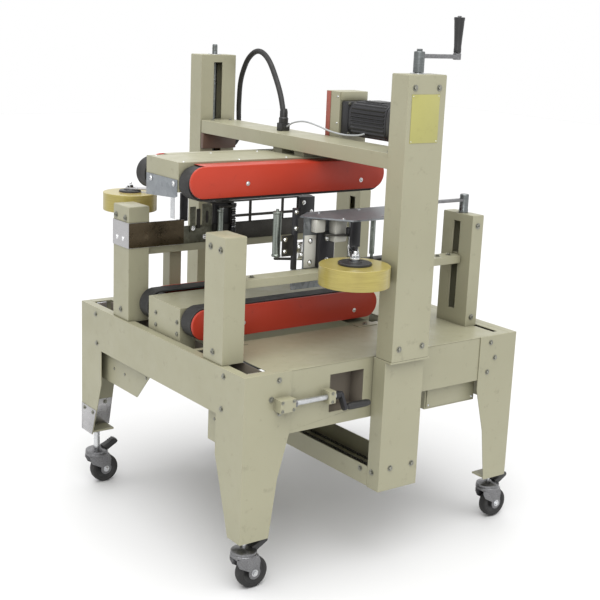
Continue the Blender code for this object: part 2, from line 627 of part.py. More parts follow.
def caster_wheel(name, x, y):
    """A solid rubber wheel, free on the axle."""
    half, bore = 0.0165, 0.0055
    profile = [(bore, -half), (0.018, -half), (0.020, -0.012), (0.034, -0.012), (0.036, -half + 0.001),
               (WHEEL_R - 0.004, -half + 0.002), (WHEEL_R, -0.009), (WHEEL_R, 0.009),
               (WHEEL_R - 0.004, half - 0.002), (0.036, half - 0.001), (0.034, 0.012), (0.020, 0.012),
               (0.018, half), (bore, half)]
    centre = (x + TRAIL, y, WHEEL_R)
    return place(name, turned(profile, centre, "y", 32), "black_rubber", centre, True)


# ---- cords --------------------------------------------------------------------------------
def smooth_points(route, count):
    """Evenly spread points on a smooth curve through the route's points."""
    ends = [2 * Vector(route[0]) - Vector(route[1])] + [Vector(p) for p in route]
    ends.append(2 * Vector(route[-1]) - Vector(route[-2]))
    fine = []
    for a, b, c, d in zip(ends, ends[1:], ends[2:], ends[3:]):
        for k in range(24):
            t = k / 24
            fine.append(0.5 * ((2 * b) + (c - a) * t + (2 * a - 5 * b + 4 * c - d) * t * t
                               + (3 * b - a - 3 * c + d) * t ** 3))
    fine.append(Vector(route[-1]))
    reach = [0.0]
    for a, b in zip(fine, fine[1:]):
        reach.append(reach[-1] + (b - a).length)
    points, at = [], 0
    for k in range(count):
        target = reach[-1] * k / (count - 1)
        while at < len(reach) - 2 and reach[at + 1] < target:
            at += 1
        span = reach[at + 1] - reach[at]
        points.append(fine[at].lerp(fine[at + 1], (target - reach[at]) / span if span else 0.0))
    return points


def cord(name, colour, route, radius, count):
    """A round cord along a route, with flat ends."""
    curve = bpy.data.curves.new(name, "CURVE")
    curve.dimensions = "3D"
    curve.bevel_depth = radius
    curve.bevel_resolution = 2
    curve.use_fill_caps = True
    spline = curve.splines.new("POLY")
    points = smooth_points(route, count)
    spline.points.add(len(points) - 1)
    for target, point in zip(spline.points, points):
        target.co = (*point, 1.0)
    curve.materials.append(material(colour))
    made = bpy.data.objects.new(name, curve)
    bpy.context.scene.collection.objects.link(made)
    return made


CONDUIT_ROUTE = [
    (0.0760, 0.557, 1.190), (0.0960, 0.557, 1.191), (0.113, 0.556, 1.215), (0.113, 0.552, 1.270),
    (0.107, 0.545, 1.340), (0.099, 0.525, 1.425), (0.090, 0.480, 1.490), (0.080, 0.430, 1.523),
    (0.068, 0.375, 1.537), (0.056, 0.320, 1.531), (0.042, 0.262, 1.506), (0.028, 0.205, 1.460),
    (0.014, 0.152, 1.405), (0.005, 0.120, 1.352), (0.002, 0.111, 1.328), (0.002, 0.111, 1.3140)]
CABLE_ROUTE = [
    (0.006, 0.0955, 1.302), (0.010, 0.064, 1.318), (0.018, 0.015, 1.326), (0.030, -0.040, 1.318),
    (0.042, -0.100, 1.304), (0.052, -0.160, 1.299), (0.061, -0.215, 1.303), (0.066, -0.240, 1.310)]


# ---- assembly -----------------------------------------------------------------------------
def clear_scene():
    for old in list(bpy.data.objects):
        bpy.data.objects.remove(old, do_unlink=True)


def carrier(name, location, pieces, parent=None):
    """An empty on a joint's axis that its pieces hang from, keeping where they stand."""
    empty = bpy.data.objects.new(name, None)
    empty.empty_display_size = 0.05
    bpy.context.scene.collection.objects.link(empty)
    start = Vector(parent["at"]) if parent else Vector((0, 0, 0))
    empty["at"] = tuple(location)
    empty.location = Vector(location) - start
    if parent:
        empty.parent = parent
    for piece in pieces:
        piece.location = piece.location - Vector(location)
        piece.parent = empty
    return empty


def main():
    clear_scene()
    end_frame("end_frame_infeed", -1)
    end_frame("end_frame_outfeed", 1)
    side_rail("side_rail_near", -1)
    side_rail("side_rail_far", 1)
    table_plate()
    column("column_near", -1)
    column("column_far", 1)
    chain_channel()
    mast("mast_near", -1)
    mast("mast_far", 1)

    lower_drive_housing()
    for side, y_side in (("near", -1), ("far", 1)):
        guard("lower_guard_" + side, y_side, LOWER_X, LOWER_Z, False)
        belt("lower_belt_" + side, y_side, LOWER_X, LOWER_Z)
    belt_roller("lower_roller_infeed", LOWER_X, LOWER_Z)
    belt_roller("lower_roller_outfeed", OUTFEED_X, LOWER_Z)
    lower_motor()
    electrical_box()

    lift_screw("lift_screw_near", -1, MAST_TOP + 0.005)
    lift_screw("lift_screw_far", 1, 1.552)
    lift_crank()
    lift_crank_grip()

    gantry = [gantry_beam(), upper_drive_housing(), infeed_guide_plate(), upper_drive_cover(),
              upper_motor(), cord("motor_cable", "grey_cable", CABLE_ROUTE, 0.003, 26)]
    for side, y_side in (("near", -1), ("far", 1)):
        gantry.append(guard("upper_guard_" + side, y_side, UPPER_X, UPPER_Z + UPPER_GUARD_RISE, True))
        gantry.append(belt("upper_belt_" + side, y_side, UPPER_X, UPPER_Z))
    gantry.append(belt_roller("upper_roller_infeed", UPPER_X, UPPER_Z))
    gantry.append(belt_roller("upper_roller_outfeed", OUTFEED_X, UPPER_Z))
    carrier("gantry_lift", (0, 0, BEAM_Z[0]), gantry)
    cord("conduit", "black_rubber", CONDUIT_ROUTE, 0.0095, 28)

    near_roll = (-0.190, -0.540, 0.105, 0.910)
    far_roll = (-0.420, 0.400, 0.091, 1.000)
    near_head = [head_bar("head_bar_near", NEAR_BAR_Y, True),
                 tape_head_near(near_roll),
                 tape_roll("tape_roll_near", near_roll),
                 roller_arm("roller_arm_near", (-0.150, -0.258), (-0.240, -0.214), 0.0145, 0.9265, 1.078)]
    far_head = [head_bar("head_bar_far", FAR_BAR_Y, False),
                tape_head_far(far_roll),
                tape_roll("tape_roll_far", far_roll),
                roller_arm("roller_arm_far", (-0.130, 0.2005), (-0.185, 0.1965), 0.0115, 1.0225, 1.016)]
    near_carriage = carrier("near_carriage", (0, NEAR_BAR_Y, TABLE_Z), [
        post("post_infeed_near", (-0.537, -0.463), (-0.3825, -0.2775), NEAR_BAR_Y, 1),
        post("post_outfeed_near", (0.430, 0.480), (-0.385, -0.245), NEAR_BAR_Y, -1, True),
        head_crank()])
    far_carriage = carrier("far_carriage", (0, FAR_BAR_Y, TABLE_Z), [
        post("post_infeed_far", (-0.537, -0.463), (0.1880, 0.2930), FAR_BAR_Y, 1),
        post("post_outfeed_far", (0.430, 0.480), (0.205, 0.345), FAR_BAR_Y, -1),
        far_side_guide(), far_head_pillar()])
    carrier("near_head", (0, NEAR_BAR_Y, BAR_Z[0]), near_head, near_carriage)
    carrier("far_head", (0, FAR_BAR_Y, BAR_Z[0]), far_head, far_carriage)
    width_crank()

    for end, x in (("infeed", -STEM_X), ("outfeed", STEM_X)):
        for side, y in (("near", -STEM_Y), ("far", STEM_Y)):
            foot = SHORT_FOOT_Z if (end, side) == ("infeed", "far") else FOOT_Z
            caster_fork("caster_fork_{}_{}".format(end, side), x, y, foot)
            caster_wheel("caster_wheel_{}_{}".format(end, side), x, y)

    for item in bpy.context.scene.objects:
        if item.parent is None:
            item.location = item.location + CENTRE_SHIFT
    bpy.context.view_layer.update()


main()
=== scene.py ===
"""Looks of the carton sealer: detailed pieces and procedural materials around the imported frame."""

import math

import bmesh
import bpy
from mathutils import Matrix, Vector


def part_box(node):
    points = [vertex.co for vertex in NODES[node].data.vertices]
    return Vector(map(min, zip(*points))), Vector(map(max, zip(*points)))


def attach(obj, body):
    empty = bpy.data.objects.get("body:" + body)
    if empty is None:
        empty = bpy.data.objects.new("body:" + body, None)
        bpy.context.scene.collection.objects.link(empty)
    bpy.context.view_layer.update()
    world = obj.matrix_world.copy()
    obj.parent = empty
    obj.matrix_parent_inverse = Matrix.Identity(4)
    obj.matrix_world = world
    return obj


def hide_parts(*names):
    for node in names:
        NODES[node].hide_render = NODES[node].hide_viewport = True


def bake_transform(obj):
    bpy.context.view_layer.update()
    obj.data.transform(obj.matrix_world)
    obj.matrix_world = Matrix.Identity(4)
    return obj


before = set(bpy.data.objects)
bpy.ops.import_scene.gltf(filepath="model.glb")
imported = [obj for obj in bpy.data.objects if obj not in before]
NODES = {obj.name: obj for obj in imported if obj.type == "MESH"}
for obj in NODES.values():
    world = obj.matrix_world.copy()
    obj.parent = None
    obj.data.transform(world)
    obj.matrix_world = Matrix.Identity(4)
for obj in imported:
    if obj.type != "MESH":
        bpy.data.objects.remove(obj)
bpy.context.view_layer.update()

# The table's middle on the floor: every place below is measured from it, in metres.
TABLE_LOW, TABLE_HIGH = (Vector(corner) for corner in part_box("table_plate"))
MIDDLE = Vector(((TABLE_LOW.x + TABLE_HIGH.x) / 2, (TABLE_LOW.y + TABLE_HIGH.y) / 2, 0.0))


def here(x, y, z):
    """A place measured from the table's middle, in the row frame."""
    return MIDDLE + Vector((x, y, z))


# ---- materials ----------------------------------------------------------------------------
class Shader:
    """A short way to wire one Principled material."""

    def __init__(self, name, rough, metal=0.0, coat=0.0, specular=0.5):
        self.material = bpy.data.materials.new(name)
        self.material.use_nodes = True
        self.tree = self.material.node_tree
        self.out = self.tree.nodes["Principled BSDF"]
        self.out.inputs["Roughness"].default_value = rough
        self.out.inputs["Metallic"].default_value = metal
        self.out.inputs["Coat Weight"].default_value = coat
        self.out.inputs["Coat Roughness"].default_value = 0.2
        self.out.inputs["Specular IOR Level"].default_value = specular
        place = self.tree.nodes.new("ShaderNodeTexCoord")
        self.place = place.outputs["Object"]

    def node(self, kind, links=(), **values):
        made = self.tree.nodes.new(kind)
        for key, value in values.items():
            setattr(made, key, value)
        for socket, source in links:
            if hasattr(source, "node"):
                self.tree.links.new(source, made.inputs[socket])
            else:
                made.inputs[socket].default_value = source
        return made

    def stretched(self, scale):
        return self.node("ShaderNodeMapping", [("Vector", self.place), ("Scale", scale)]).outputs[0]

    def noise(self, scale, detail=3.0, rough=0.5, place=None):
        return self.node("ShaderNodeTexNoise", [
            ("Vector", place or self.place), ("Scale", scale), ("Detail", detail),
            ("Roughness", rough)]).outputs["Fac"]

    def steps(self, source, stops):
        ramp = self.node("ShaderNodeValToRGB", [("Fac", source)])
        ramp.color_ramp.elements[0].position = stops[0][0]
        ramp.color_ramp.elements[1].position = stops[-1][0]
        for position, _ in stops[1:-1]:
            ramp.color_ramp.elements.new(position)
        for element, (_, shade) in zip(ramp.color_ramp.elements, stops):
            element.color = (*shade, 1.0) if isinstance(shade, tuple) else (shade, shade, shade, 1.0)
        return ramp.outputs["Color"]

    def mix(self, factor, a, b, blend="MIX"):
        made = self.node("ShaderNodeMix", data_type="RGBA", blend_type=blend)
        for index, value in ((0, factor), (6, a), (7, b)):
            if hasattr(value, "node"):
                self.tree.links.new(value, made.inputs[index])
            else:
                made.inputs[index].default_value = (*value, 1.0) if isinstance(value, tuple) else value
        return made.outputs[2]

    # Ambient occlusion, used below as the mask for painted shade in creases and corners.
    def creases(self, reach):
        return self.node("ShaderNodeAmbientOcclusion", [("Distance", reach)], samples=8).outputs["AO"]

    def bump(self, height, strength, distance=0.001):
        made = self.node("ShaderNodeBump",
                         [("Height", height), ("Strength", strength), ("Distance", distance)])
        previous = self.out.inputs["Normal"].links
        if previous:
            self.tree.links.new(previous[0].from_socket, made.inputs["Normal"])
        self.tree.links.new(made.outputs["Normal"], self.out.inputs["Normal"])

    def colour(self, source):
        self.tree.links.new(source, self.out.inputs["Base Color"])

    def roughness(self, source):
        self.tree.links.new(source, self.out.inputs["Roughness"])


def paint(name, low, high, dirt_and_shade, rough=0.42, specular=0.5):
    """Powder coat: slightly uneven colour, orange peel, a few rubs, and painted shade darkening creases and
    corners.
    """
    made = Shader(name, rough, coat=0.08, specular=specular)
    cloud = made.steps(made.noise(2.6, 4.0), [(0.3, low), (0.72, high)])
    rubs = made.steps(made.noise(34.0, 6.0, 0.65), [(0.6, 0.0), (0.74, 0.3)])
    worn = made.mix(rubs, cloud, dirt_and_shade)
    # Painted shade: ambient occlusion darkens creases and corners towards the darker tone that the rubs
    # also use.
    painted_crease_shade = made.steps(made.creases(0.035), [(0.25, 0.75), (0.85, 0.0)])
    made.colour(made.mix(painted_crease_shade, worn, dirt_and_shade))
    made.roughness(made.steps(made.noise(14.0, 5.0, 0.6), [(0.3, rough - 0.08), (0.7, rough + 0.12)]))
    made.bump(made.noise(420.0, 2.0), 0.1, 0.0006)
    made.bump(made.noise(7.0, 3.0), 0.12, 0.004)
    return made.material


def metal(name, low, high, rough, grain=(1.0, 1.0, 60.0), spots=0.0):
    """Bare metal: brushed grain along one way, smudges and a little tarnish."""
    made = Shader(name, rough, metal=1.0)
    brushed = made.noise(38.0, 4.0, 0.6, made.stretched(grain))
    base = made.steps(brushed, [(0.3, low), (0.7, high)])
    stain = made.steps(made.noise(11.0, 6.0, 0.7), [(0.52, 0.0), (0.75, 0.55 + spots)])
    made.colour(made.mix(stain, base, tuple(0.45 * c for c in low)))
    made.roughness(made.steps(made.noise(24.0, 5.0, 0.65),
                              [(0.3, max(0.05, rough - 0.1)), (0.7, rough + 0.15)]))
    made.bump(brushed, 0.08, 0.0005)
    return made.material


def moulded(name, low, high, rough, grain=260.0, depth=0.25):
    """Black plastic or rubber: fine grain, dust and soft sheen."""
    made = Shader(name, rough, specular=0.45)
    cloud = made.steps(made.noise(9.0, 4.0, 0.6), [(0.3, low), (0.75, high)])
    dust = made.steps(made.noise(70.0, 5.0, 0.7), [(0.58, 0.0), (0.8, 0.22)])
    made.colour(made.mix(dust, cloud, (0.16, 0.15, 0.135)))
    made.roughness(made.steps(made.noise(30.0, 3.0), [(0.3, rough - 0.08), (0.7, rough + 0.1)]))
    made.bump(made.noise(grain, 2.0), depth, 0.0006)
    return made.material


def galvanised(name):
    """Dull zinc plate: crystal spangle and long scratches."""
    made = Shader(name, 0.42, metal=0.85)
    cells = made.node("ShaderNodeTexVoronoi", [("Vector", made.place), ("Scale", 55.0)]).outputs["Color"]
    grey = made.node("ShaderNodeRGBToBW", [("Color", cells)]).outputs[0]
    base = made.steps(grey, [(0.1, (0.2, 0.215, 0.23)), (0.9, (0.3, 0.32, 0.335))])
    scratch = made.steps(made.noise(60.0, 3.0, 0.5, made.stretched((0.3, 6.0, 6.0))),
                         [(0.62, 0.0), (0.72, 0.5)])
    made.colour(made.mix(scratch, base, (0.45, 0.46, 0.47)))
    made.roughness(made.steps(grey, [(0.0, 0.34), (1.0, 0.52)]))
    made.bump(made.noise(180.0, 3.0), 0.08, 0.0005)
    return made.material


def tape_material():
    """Wound clear-brown tape: fine rings on the sides, a glossy outer turn."""
    made = Shader("tape_yellow", 0.32, coat=0.3)
    turns = made.noise(90.0, 3.0, 0.6, made.stretched((0.15, 0.15, 6.0)))
    base = made.steps(turns, [(0.3, (0.26, 0.212, 0.046)), (0.7, (0.35, 0.292, 0.074))])
    age = made.steps(made.noise(14.0, 4.0), [(0.35, 0.0), (0.8, 0.45)])
    made.colour(made.mix(age, base, (0.2, 0.15, 0.045)))
    made.bump(turns, 0.15, 0.0004)
    return made.material


CREAM = paint("powder_cream", (0.266, 0.256, 0.172), (0.3, 0.288, 0.197), (0.12, 0.11, 0.07))
ORANGE = paint("enamel_orange", (0.32, 0.027, 0.012), (0.39, 0.036, 0.016), (0.12, 0.016, 0.01), 0.4, 0.28)
RED = paint("enamel_red", (0.24, 0.06, 0.04), (0.29, 0.072, 0.048), (0.15, 0.02, 0.014), 0.42)
BLACK_PAINT = paint("enamel_black", (0.01, 0.01, 0.012), (0.018, 0.018, 0.021), (0.035, 0.034, 0.033),
                    0.38, 0.35)
RUBBER = moulded("rubber_black", (0.01, 0.01, 0.01), (0.022, 0.021, 0.02), 0.62)
PLASTIC = moulded("plastic_black", (0.012, 0.012, 0.012), (0.026, 0.026, 0.026), 0.4, 340.0, 0.15)
DARK = moulded("inner_shadow", (0.02, 0.019, 0.017), (0.032, 0.03, 0.027), 0.75)
ZINC = metal("zinc_plated", (0.52, 0.53, 0.54), (0.7, 0.71, 0.72), 0.26)
MACHINED = metal("machined_steel", (0.4, 0.405, 0.41), (0.6, 0.605, 0.61), 0.24, (40.0, 40.0, 1.0))
CHROME = metal("chromed", (0.74, 0.75, 0.76), (0.86, 0.865, 0.87), 0.12)
ALLOY = metal("cast_alloy", (0.46, 0.47, 0.48), (0.6, 0.61, 0.62), 0.42, (3.0, 3.0, 3.0))
STAINLESS = metal("stainless_sheet", (0.4, 0.395, 0.4), (0.47, 0.465, 0.47), 0.27, (0.6, 0.6, 24.0), -0.3)
GALVANISED = galvanised("galvanised_plate")
TAPE = tape_material()
CABLE = moulded("cable_grey", (0.3, 0.31, 0.32), (0.4, 0.41, 0.42), 0.48)
BROWN = paint("dark_brown_tone", (0.075, 0.042, 0.028), (0.105, 0.06, 0.04), (0.05, 0.035, 0.025), 0.45)
FORK = metal("dark_zinc", (0.15, 0.15, 0.155), (0.27, 0.27, 0.275), 0.34, (6.0, 6.0, 6.0))
SHAFT = metal("grey_shaft", (0.12, 0.13, 0.13), (0.22, 0.235, 0.235), 0.3, (1.0, 1.0, 30.0))
# A dark brown copy of stainless for the far guide's near face: painted shade and painted reflection.
PAINTED_DARK_STAINLESS = metal("stainless_painted_dark", (0.085, 0.066, 0.042), (0.102, 0.08, 0.053), 0.28, (6.0, 6.0, 6.0), -0.48)
OLIVE = metal("olive_plate", (0.12, 0.12, 0.092), (0.19, 0.188, 0.148), 0.42, (3.0, 3.0, 3.0))
PALE = paint("pale_enamel", (0.42, 0.415, 0.375), (0.5, 0.495, 0.45), (0.2, 0.19, 0.16), 0.38)
POCKET = paint("pocket_shadow", (0.15, 0.128, 0.1), (0.19, 0.165, 0.13), (0.05, 0.04, 0.03), 0.7)
BOLT = metal("dark_bolt", (0.2, 0.2, 0.17), (0.32, 0.32, 0.28), 0.36, (6.0, 6.0, 6.0))
BLACKENED = metal("blackened_plate", (0.05, 0.048, 0.044), (0.068, 0.065, 0.06), 0.42, (6.0, 6.0, 6.0),
                  -0.2)
ROLLER = metal("guide_roller", (0.2, 0.225, 0.2), (0.33, 0.36, 0.33), 0.36, (4.0, 4.0, 30.0))
CARD = moulded("card_core", (0.3, 0.22, 0.12), (0.38, 0.29, 0.17), 0.85, 180.0, 0.3)
LABEL = paint("blank_label", (0.3, 0.285, 0.085), (0.36, 0.34, 0.11), (0.2, 0.18, 0.06), 0.34)
BRASS = metal("brass_nut", (0.55, 0.4, 0.16), (0.72, 0.54, 0.24), 0.3)


# ---- mesh helpers -------------------------------------------------------------------------
def solid_box(low, high, bevel=0.0, mesh=None):
    mesh = mesh or bmesh.new()
    size = [b - a for a, b in zip(low, high)]
    middle = [(a + b) / 2 for a, b in zip(low, high)]
    made = bmesh.ops.create_cube(
        mesh, size=1.0, matrix=Matrix.Translation(middle) @ Matrix.Diagonal((*size, 1.0)))
    if bevel:
        edges = list(dict.fromkeys(e for v in made["verts"] for e in v.link_edges))
        bmesh.ops.bevel(mesh, geom=edges, offset=bevel, segments=2, profile=0.5, affect="EDGES")
    return mesh


def pour(mesh, into):
    """Adds one mesh to another and frees it."""
    step = bpy.data.meshes.new("step")
    mesh.to_mesh(step)
    mesh.free()
    into.from_mesh(step)
    bpy.data.meshes.remove(step)


def loop_of(mesh, outline, axis, along):
    """A flat outline's corners as vertices, at one place along the axis."""
    made = []
    for point in outline:
        spot = list(point)
        spot.insert(axis, along)
        made.append(mesh.verts.new(spot))
    return made


def prism(outline, axis, low, high, bevel=0.0, mesh=None):
    """A flat outline pushed along an axis; its two numbers are the other two axes.

    It is made in a mesh of its own: beveled beside other geometry, its faces came out in a
    different order from run to run."""
    into, mesh = mesh, bmesh.new()
    bottom, top = loop_of(mesh, outline, axis, low), loop_of(mesh, outline, axis, high)
    ends = [mesh.faces.new(bottom), mesh.faces.new(top)]
    sides = []
    for i in range(len(outline)):
        j = (i + 1) % len(outline)
        sides.append(mesh.faces.new((bottom[i], bottom[j], top[j], top[i])))
    bmesh.ops.recalc_face_normals(mesh, faces=ends + sides)
    if bevel:
        edges = list(dict.fromkeys(e for face in ends for e in face.edges))
        bmesh.ops.bevel(mesh, geom=edges, offset=bevel, segments=2, profile=0.5, affect="EDGES")
    if into is None:
        return mesh
    pour(mesh, into)
    return into


LAY = {"x": Matrix.Rotation(math.pi / 2, 4, "Y"), "y": Matrix.Rotation(-math.pi / 2, 4, "X"),
       "z": Matrix.Identity(4)}


def lathe(profile, centre, axis="z", steps=32, mesh=None, turn=None):
    """(radius, height) pairs turned about an axis through centre; radius 0 closes on the axis."""
    mesh = mesh or bmesh.new()
    rings = []
    for radius, height in profile:
        count = 1 if radius == 0 else steps
        rings.append([mesh.verts.new((radius * math.cos(2 * math.pi * k / steps),
                                      radius * math.sin(2 * math.pi * k / steps), height))
                      for k in range(count)])
    pairs = list(zip(rings, rings[1:]))
    if profile[0][0] > 0:
        pairs.append((rings[-1], rings[0]))
    faces = []
    for lower, upper in pairs:
        for k in range(steps):
            n = (k + 1) % steps
            if len(lower) == 1:
                faces.append(mesh.faces.new((lower[0], upper[n], upper[k])))
            elif len(upper) == 1:
                faces.append(mesh.faces.new((lower[k], lower[n], upper[0])))
            else:
                faces.append(mesh.faces.new((lower[k], lower[n], upper[n], upper[k])))
    spin = turn if turn is not None else LAY[axis]
    bmesh.ops.transform(mesh, matrix=Matrix.Translation(centre) @ spin,
                        verts=[v for ring in rings for v in ring])
    bmesh.ops.recalc_face_normals(mesh, faces=faces)
    return mesh


def pole(radius, centre, axis, low, high, steps=24, chamfer=0.001, mesh=None):
    """A round bar with chamfered ends."""
    spot = list(centre)
    spot["xyz".index(axis)] = 0.0
    c = min(chamfer, radius * 0.4)
    return lathe([(0, low), (radius - c, low), (radius, low + c), (radius, high - c), (radius - c, high),
                  (0, high)], spot, axis, steps, mesh)


def tube(points, radius, steps=12, mesh=None, ripple=0.0):
    """A round tube along points, with flat ends; ripple alternates the radius."""
    mesh = mesh or bmesh.new()
    rings, side = [], None
    for k, point in enumerate(points):
        ahead = points[min(k + 1, len(points) - 1)] - points[max(k - 1, 0)]
        ahead.normalize()
        if side is None:
            side = ahead.orthogonal().normalized()
        side = (side - ahead * side.dot(ahead)).normalized()
        other = ahead.cross(side)
        r = radius * (1 - ripple * (k % 2))
        rings.append([mesh.verts.new(point + side * (r * math.cos(2 * math.pi * n / steps))
                                     + other * (r * math.sin(2 * math.pi * n / steps)))
                      for n in range(steps)])
    faces = [mesh.faces.new(rings[0][::-1]), mesh.faces.new(rings[-1])]
    for lower, upper in zip(rings, rings[1:]):
        for n in range(steps):
            m = (n + 1) % steps
            faces.append(mesh.faces.new((lower[n], lower[m], upper[m], upper[n])))
    bmesh.ops.recalc_face_normals(mesh, faces=faces)
    return mesh


def stadium(radius, x_low, x_high, z, steps=28):
    points = []
    for start, x in ((-math.pi / 2, x_high), (math.pi / 2, x_low)):
        for k in range(steps + 1):
            angle = start + math.pi * k / steps
            points.append((x + radius * math.cos(angle), z + radius * math.sin(angle)))
    return points


def ring_prism(outer, inner, axis, low, high):
    """Two matching closed outlines joined into a band, pushed along an axis."""
    mesh = bmesh.new()
    loops = [loop_of(mesh, outline, axis, along)
             for outline, along in ((outer, low), (outer, high), (inner, high), (inner, low))]
    for first, second in zip(loops, loops[1:] + loops[:1]):
        for i in range(len(outer)):
            j = (i + 1) % len(outer)
            mesh.faces.new((first[i], first[j], second[j], second[i]))
    bmesh.ops.recalc_face_normals(mesh, faces=mesh.faces[:])
    return mesh


def squircle(half, power=4.0, count=96, ridge=0.0, every=4):
    """A rounded square outline round the origin, with square ridges along its edge."""
    points = []
    for k in range(count):
        angle = 2 * math.pi * k / count
        c, s = math.cos(angle), math.sin(angle)
        reach = half / (abs(c) ** power + abs(s) ** power) ** (1 / power)
        reach += ridge if k % every < every / 2 else 0.0
        points.append((reach * c, reach * s))
    return points


def coil(centre, radius, low, high, turns, wire, per_turn=14):
    """A spring standing on the z axis through centre."""
    count = int(turns * per_turn)
    points = [Vector((centre[0] + radius * math.cos(2 * math.pi * k / per_turn),
                      centre[1] + radius * math.sin(2 * math.pi * k / per_turn),
                      low + (high - low) * k / count)) for k in range(count + 1)]
    return tube(points, wire, 6)


def compound(name, parts, body, smooth=35, bevel=0.0, replaces=()):
    """One piece of several meshes, each with its own material."""
    shades, whole = [], bmesh.new()
    for mesh, shade in parts:
        if shade not in shades:
            shades.append(shade)
        for face in mesh.faces:
            face.material_index = shades.index(shade)
        pour(mesh, whole)
    made = finish_piece(name, whole, shades[0], body, smooth, bevel, replaces)
    for shade in shades[1:]:
        made.data.materials.append(shade)
    return made


def finish_piece(name, mesh, shade, body, smooth=35, bevel=0.0, replaces=()):
    """Names a mesh, paints it, softens its edges and rides it on its body."""
    data = bpy.data.meshes.new(name)
    bmesh.ops.translate(mesh, vec=MIDDLE, verts=mesh.verts[:])
    mesh.to_mesh(data)
    mesh.free()
    made = bpy.data.objects.new(name, data)
    bpy.context.scene.collection.objects.link(made)
    data.materials.append(shade)
    if bevel:
        soften(made, bevel)
    data.shade_smooth()
    data.set_sharp_from_angle(angle=math.radians(smooth))
    if body:
        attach(made, body)
    if replaces:
        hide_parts(*replaces)
    return made


def soften(item, width, angle=35):
    step = item.modifiers.new("edge_round", "BEVEL")
    step.width = width
    step.segments = 2
    step.limit_method = "ANGLE"
    step.angle_limit = math.radians(angle)
    step.harden_normals = False


def bolt_head(mesh, spot, normal, size=0.0065, washer=True, kind="hex"):
    """A bolt head on a surface, pointing along normal, with its washer."""
    towards = Vector(normal).normalized()
    turn = Vector((0, 0, 1)).rotation_difference(towards).to_matrix().to_4x4()
    if washer:
        lathe([(0, 0), (size * 1.55, 0), (size * 1.55, size * 0.14), (0, size * 0.22)],
              spot, steps=20, mesh=mesh, turn=turn)
    high = size * (0.95 if kind == "hex" else 0.75)
    if kind == "hex":
        lathe([(0, 0.0), (size, 0.0), (size, high * 0.86), (size * 0.86, high), (0, high)],
              spot, steps=6, mesh=mesh, turn=turn)
    elif kind == "dome":
        lathe([(0, 0.0), (size * 1.1, 0.0), (size * 1.02, high * 0.45), (size * 0.75, high * 0.8),
               (size * 0.34, high), (size * 0.3, high * 0.55), (0, high * 0.55)],
              spot, steps=20, mesh=mesh, turn=turn)
    else:
        lathe([(0, 0.0), (size, 0.0), (size, high * 0.88), (size * 0.9, high), (size * 0.5, high),
               (size * 0.48, high * 0.45), (0, high * 0.45)], spot, steps=20, mesh=mesh, turn=turn)
    return mesh


# ---- camera, light and floor --------------------------------------------------------------
def set_camera():
    data = bpy.data.cameras.new("main_camera")
    data.sensor_width = 36.0
    data.lens = 70.67
    data.clip_start, data.clip_end = 0.05, 60.0
    made = bpy.data.objects.new("main_camera", data)
    bpy.context.scene.collection.objects.link(made)
    right = Vector((0.80673, -0.58948, 0.04113))
    up = Vector((0.10661, 0.21366, 0.97107))
    ahead = Vector((0.58122, 0.77901, -0.23521))
    turn = Matrix((right, up, -ahead)).transposed().to_4x4()
    made.matrix_world = Matrix.Translation(here(-2.3177, -3.1332, 1.6679)) @ turn
    bpy.context.scene.camera = made


def area_light(name, spot, aim, size, power):
    data = bpy.data.lights.new(name, "AREA")
    data.shape = "RECTANGLE"
    data.size, data.size_y = size
    data.energy = power
    made = bpy.data.objects.new(name, data)
    made.location = spot
    made.rotation_euler = (Vector(aim) - Vector(spot)).to_track_quat("-Z", "Y").to_euler()
    bpy.context.scene.collection.objects.link(made)


def set_stage():
    world = bpy.data.worlds.new("studio")
    bpy.context.scene.world = world
    world.use_nodes = True
    sky = world.node_tree.nodes["Background"]
    sky.inputs["Color"].default_value = (1.0, 1.0, 1.0, 1.0)
    sky.inputs["Strength"].default_value = 1.0
    bpy.context.scene.view_settings.view_transform = "Standard"
    data = bpy.data.meshes.new("studio_floor")
    mesh = bmesh.new()
    bmesh.ops.create_grid(mesh, x_segments=1, y_segments=1, size=14.0)
    mesh.to_mesh(data)
    mesh.free()
    floor = bpy.data.objects.new("studio_floor", data)
    floor.location = (0, 0, -0.001)
    bpy.context.scene.collection.objects.link(floor)
    shade = Shader("studio_floor_white", 0.6)
    tone = shade.steps(shade.noise(0.6, 2.0), [(0.3, (0.58, 0.58, 0.58)), (0.7, (0.6, 0.6, 0.6))])
    shade.colour(tone)
    data.materials.append(shade.material)
    area_light("key_light", (-2.5, -3.1, 2.8), (0, 0, 0.8), (1.8, 1.8), 42.0)
    data = bpy.data.lights.new("ceiling_light", "SUN")
    data.energy = 2.75
    data.angle = math.radians(60)
    ceiling = bpy.data.objects.new("ceiling_light", data)
    ceiling.rotation_euler = (math.radians(14), math.radians(-12), 0)
    bpy.context.scene.collection.objects.link(ceiling)
    area_light("fill_light", (3.0, -2.6, 2.4), (0, 0, 0.8), (2.6, 2.6), 5.0)
    area_light("rim_light", (0.5, 3.4, 3.2), (0, 0, 0.9), (2.6, 2.0), 14.0)


set_camera()
set_stage()


# ---- CAD nodes that stay: materials and softened edges ------------------------------------
def dress(names, shade, width=0.0012):
    for name in names:
        item = NODES[name]
        for slot in item.material_slots:
            slot.material = shade
        if width:
            weld = item.modifiers.new("weld", "WELD")
            weld.merge_threshold = 0.00002
            soften(item, width, 40)


FRAME_NODES = ["end_frame_infeed", "end_frame_outfeed", "side_rail_near", "side_rail_far", "table_plate",
               "column_near", "column_far", "chain_channel", "mast_near", "mast_far", "electrical_box",
               "gantry_beam", "upper_drive_housing", "lower_drive_housing", "upper_drive_cover",
               "post_infeed_near", "post_outfeed_near", "post_infeed_far", "post_outfeed_far",
               "head_bar_near", "head_bar_far", "far_head_pillar"]
dress(FRAME_NODES, CREAM)
dress(["tape_head_near"], GALVANISED, 0.0006)
dress(["tape_head_far"], BLACKENED, 0.0006)
dress(["far_side_guide"], STAINLESS, 0.0006)

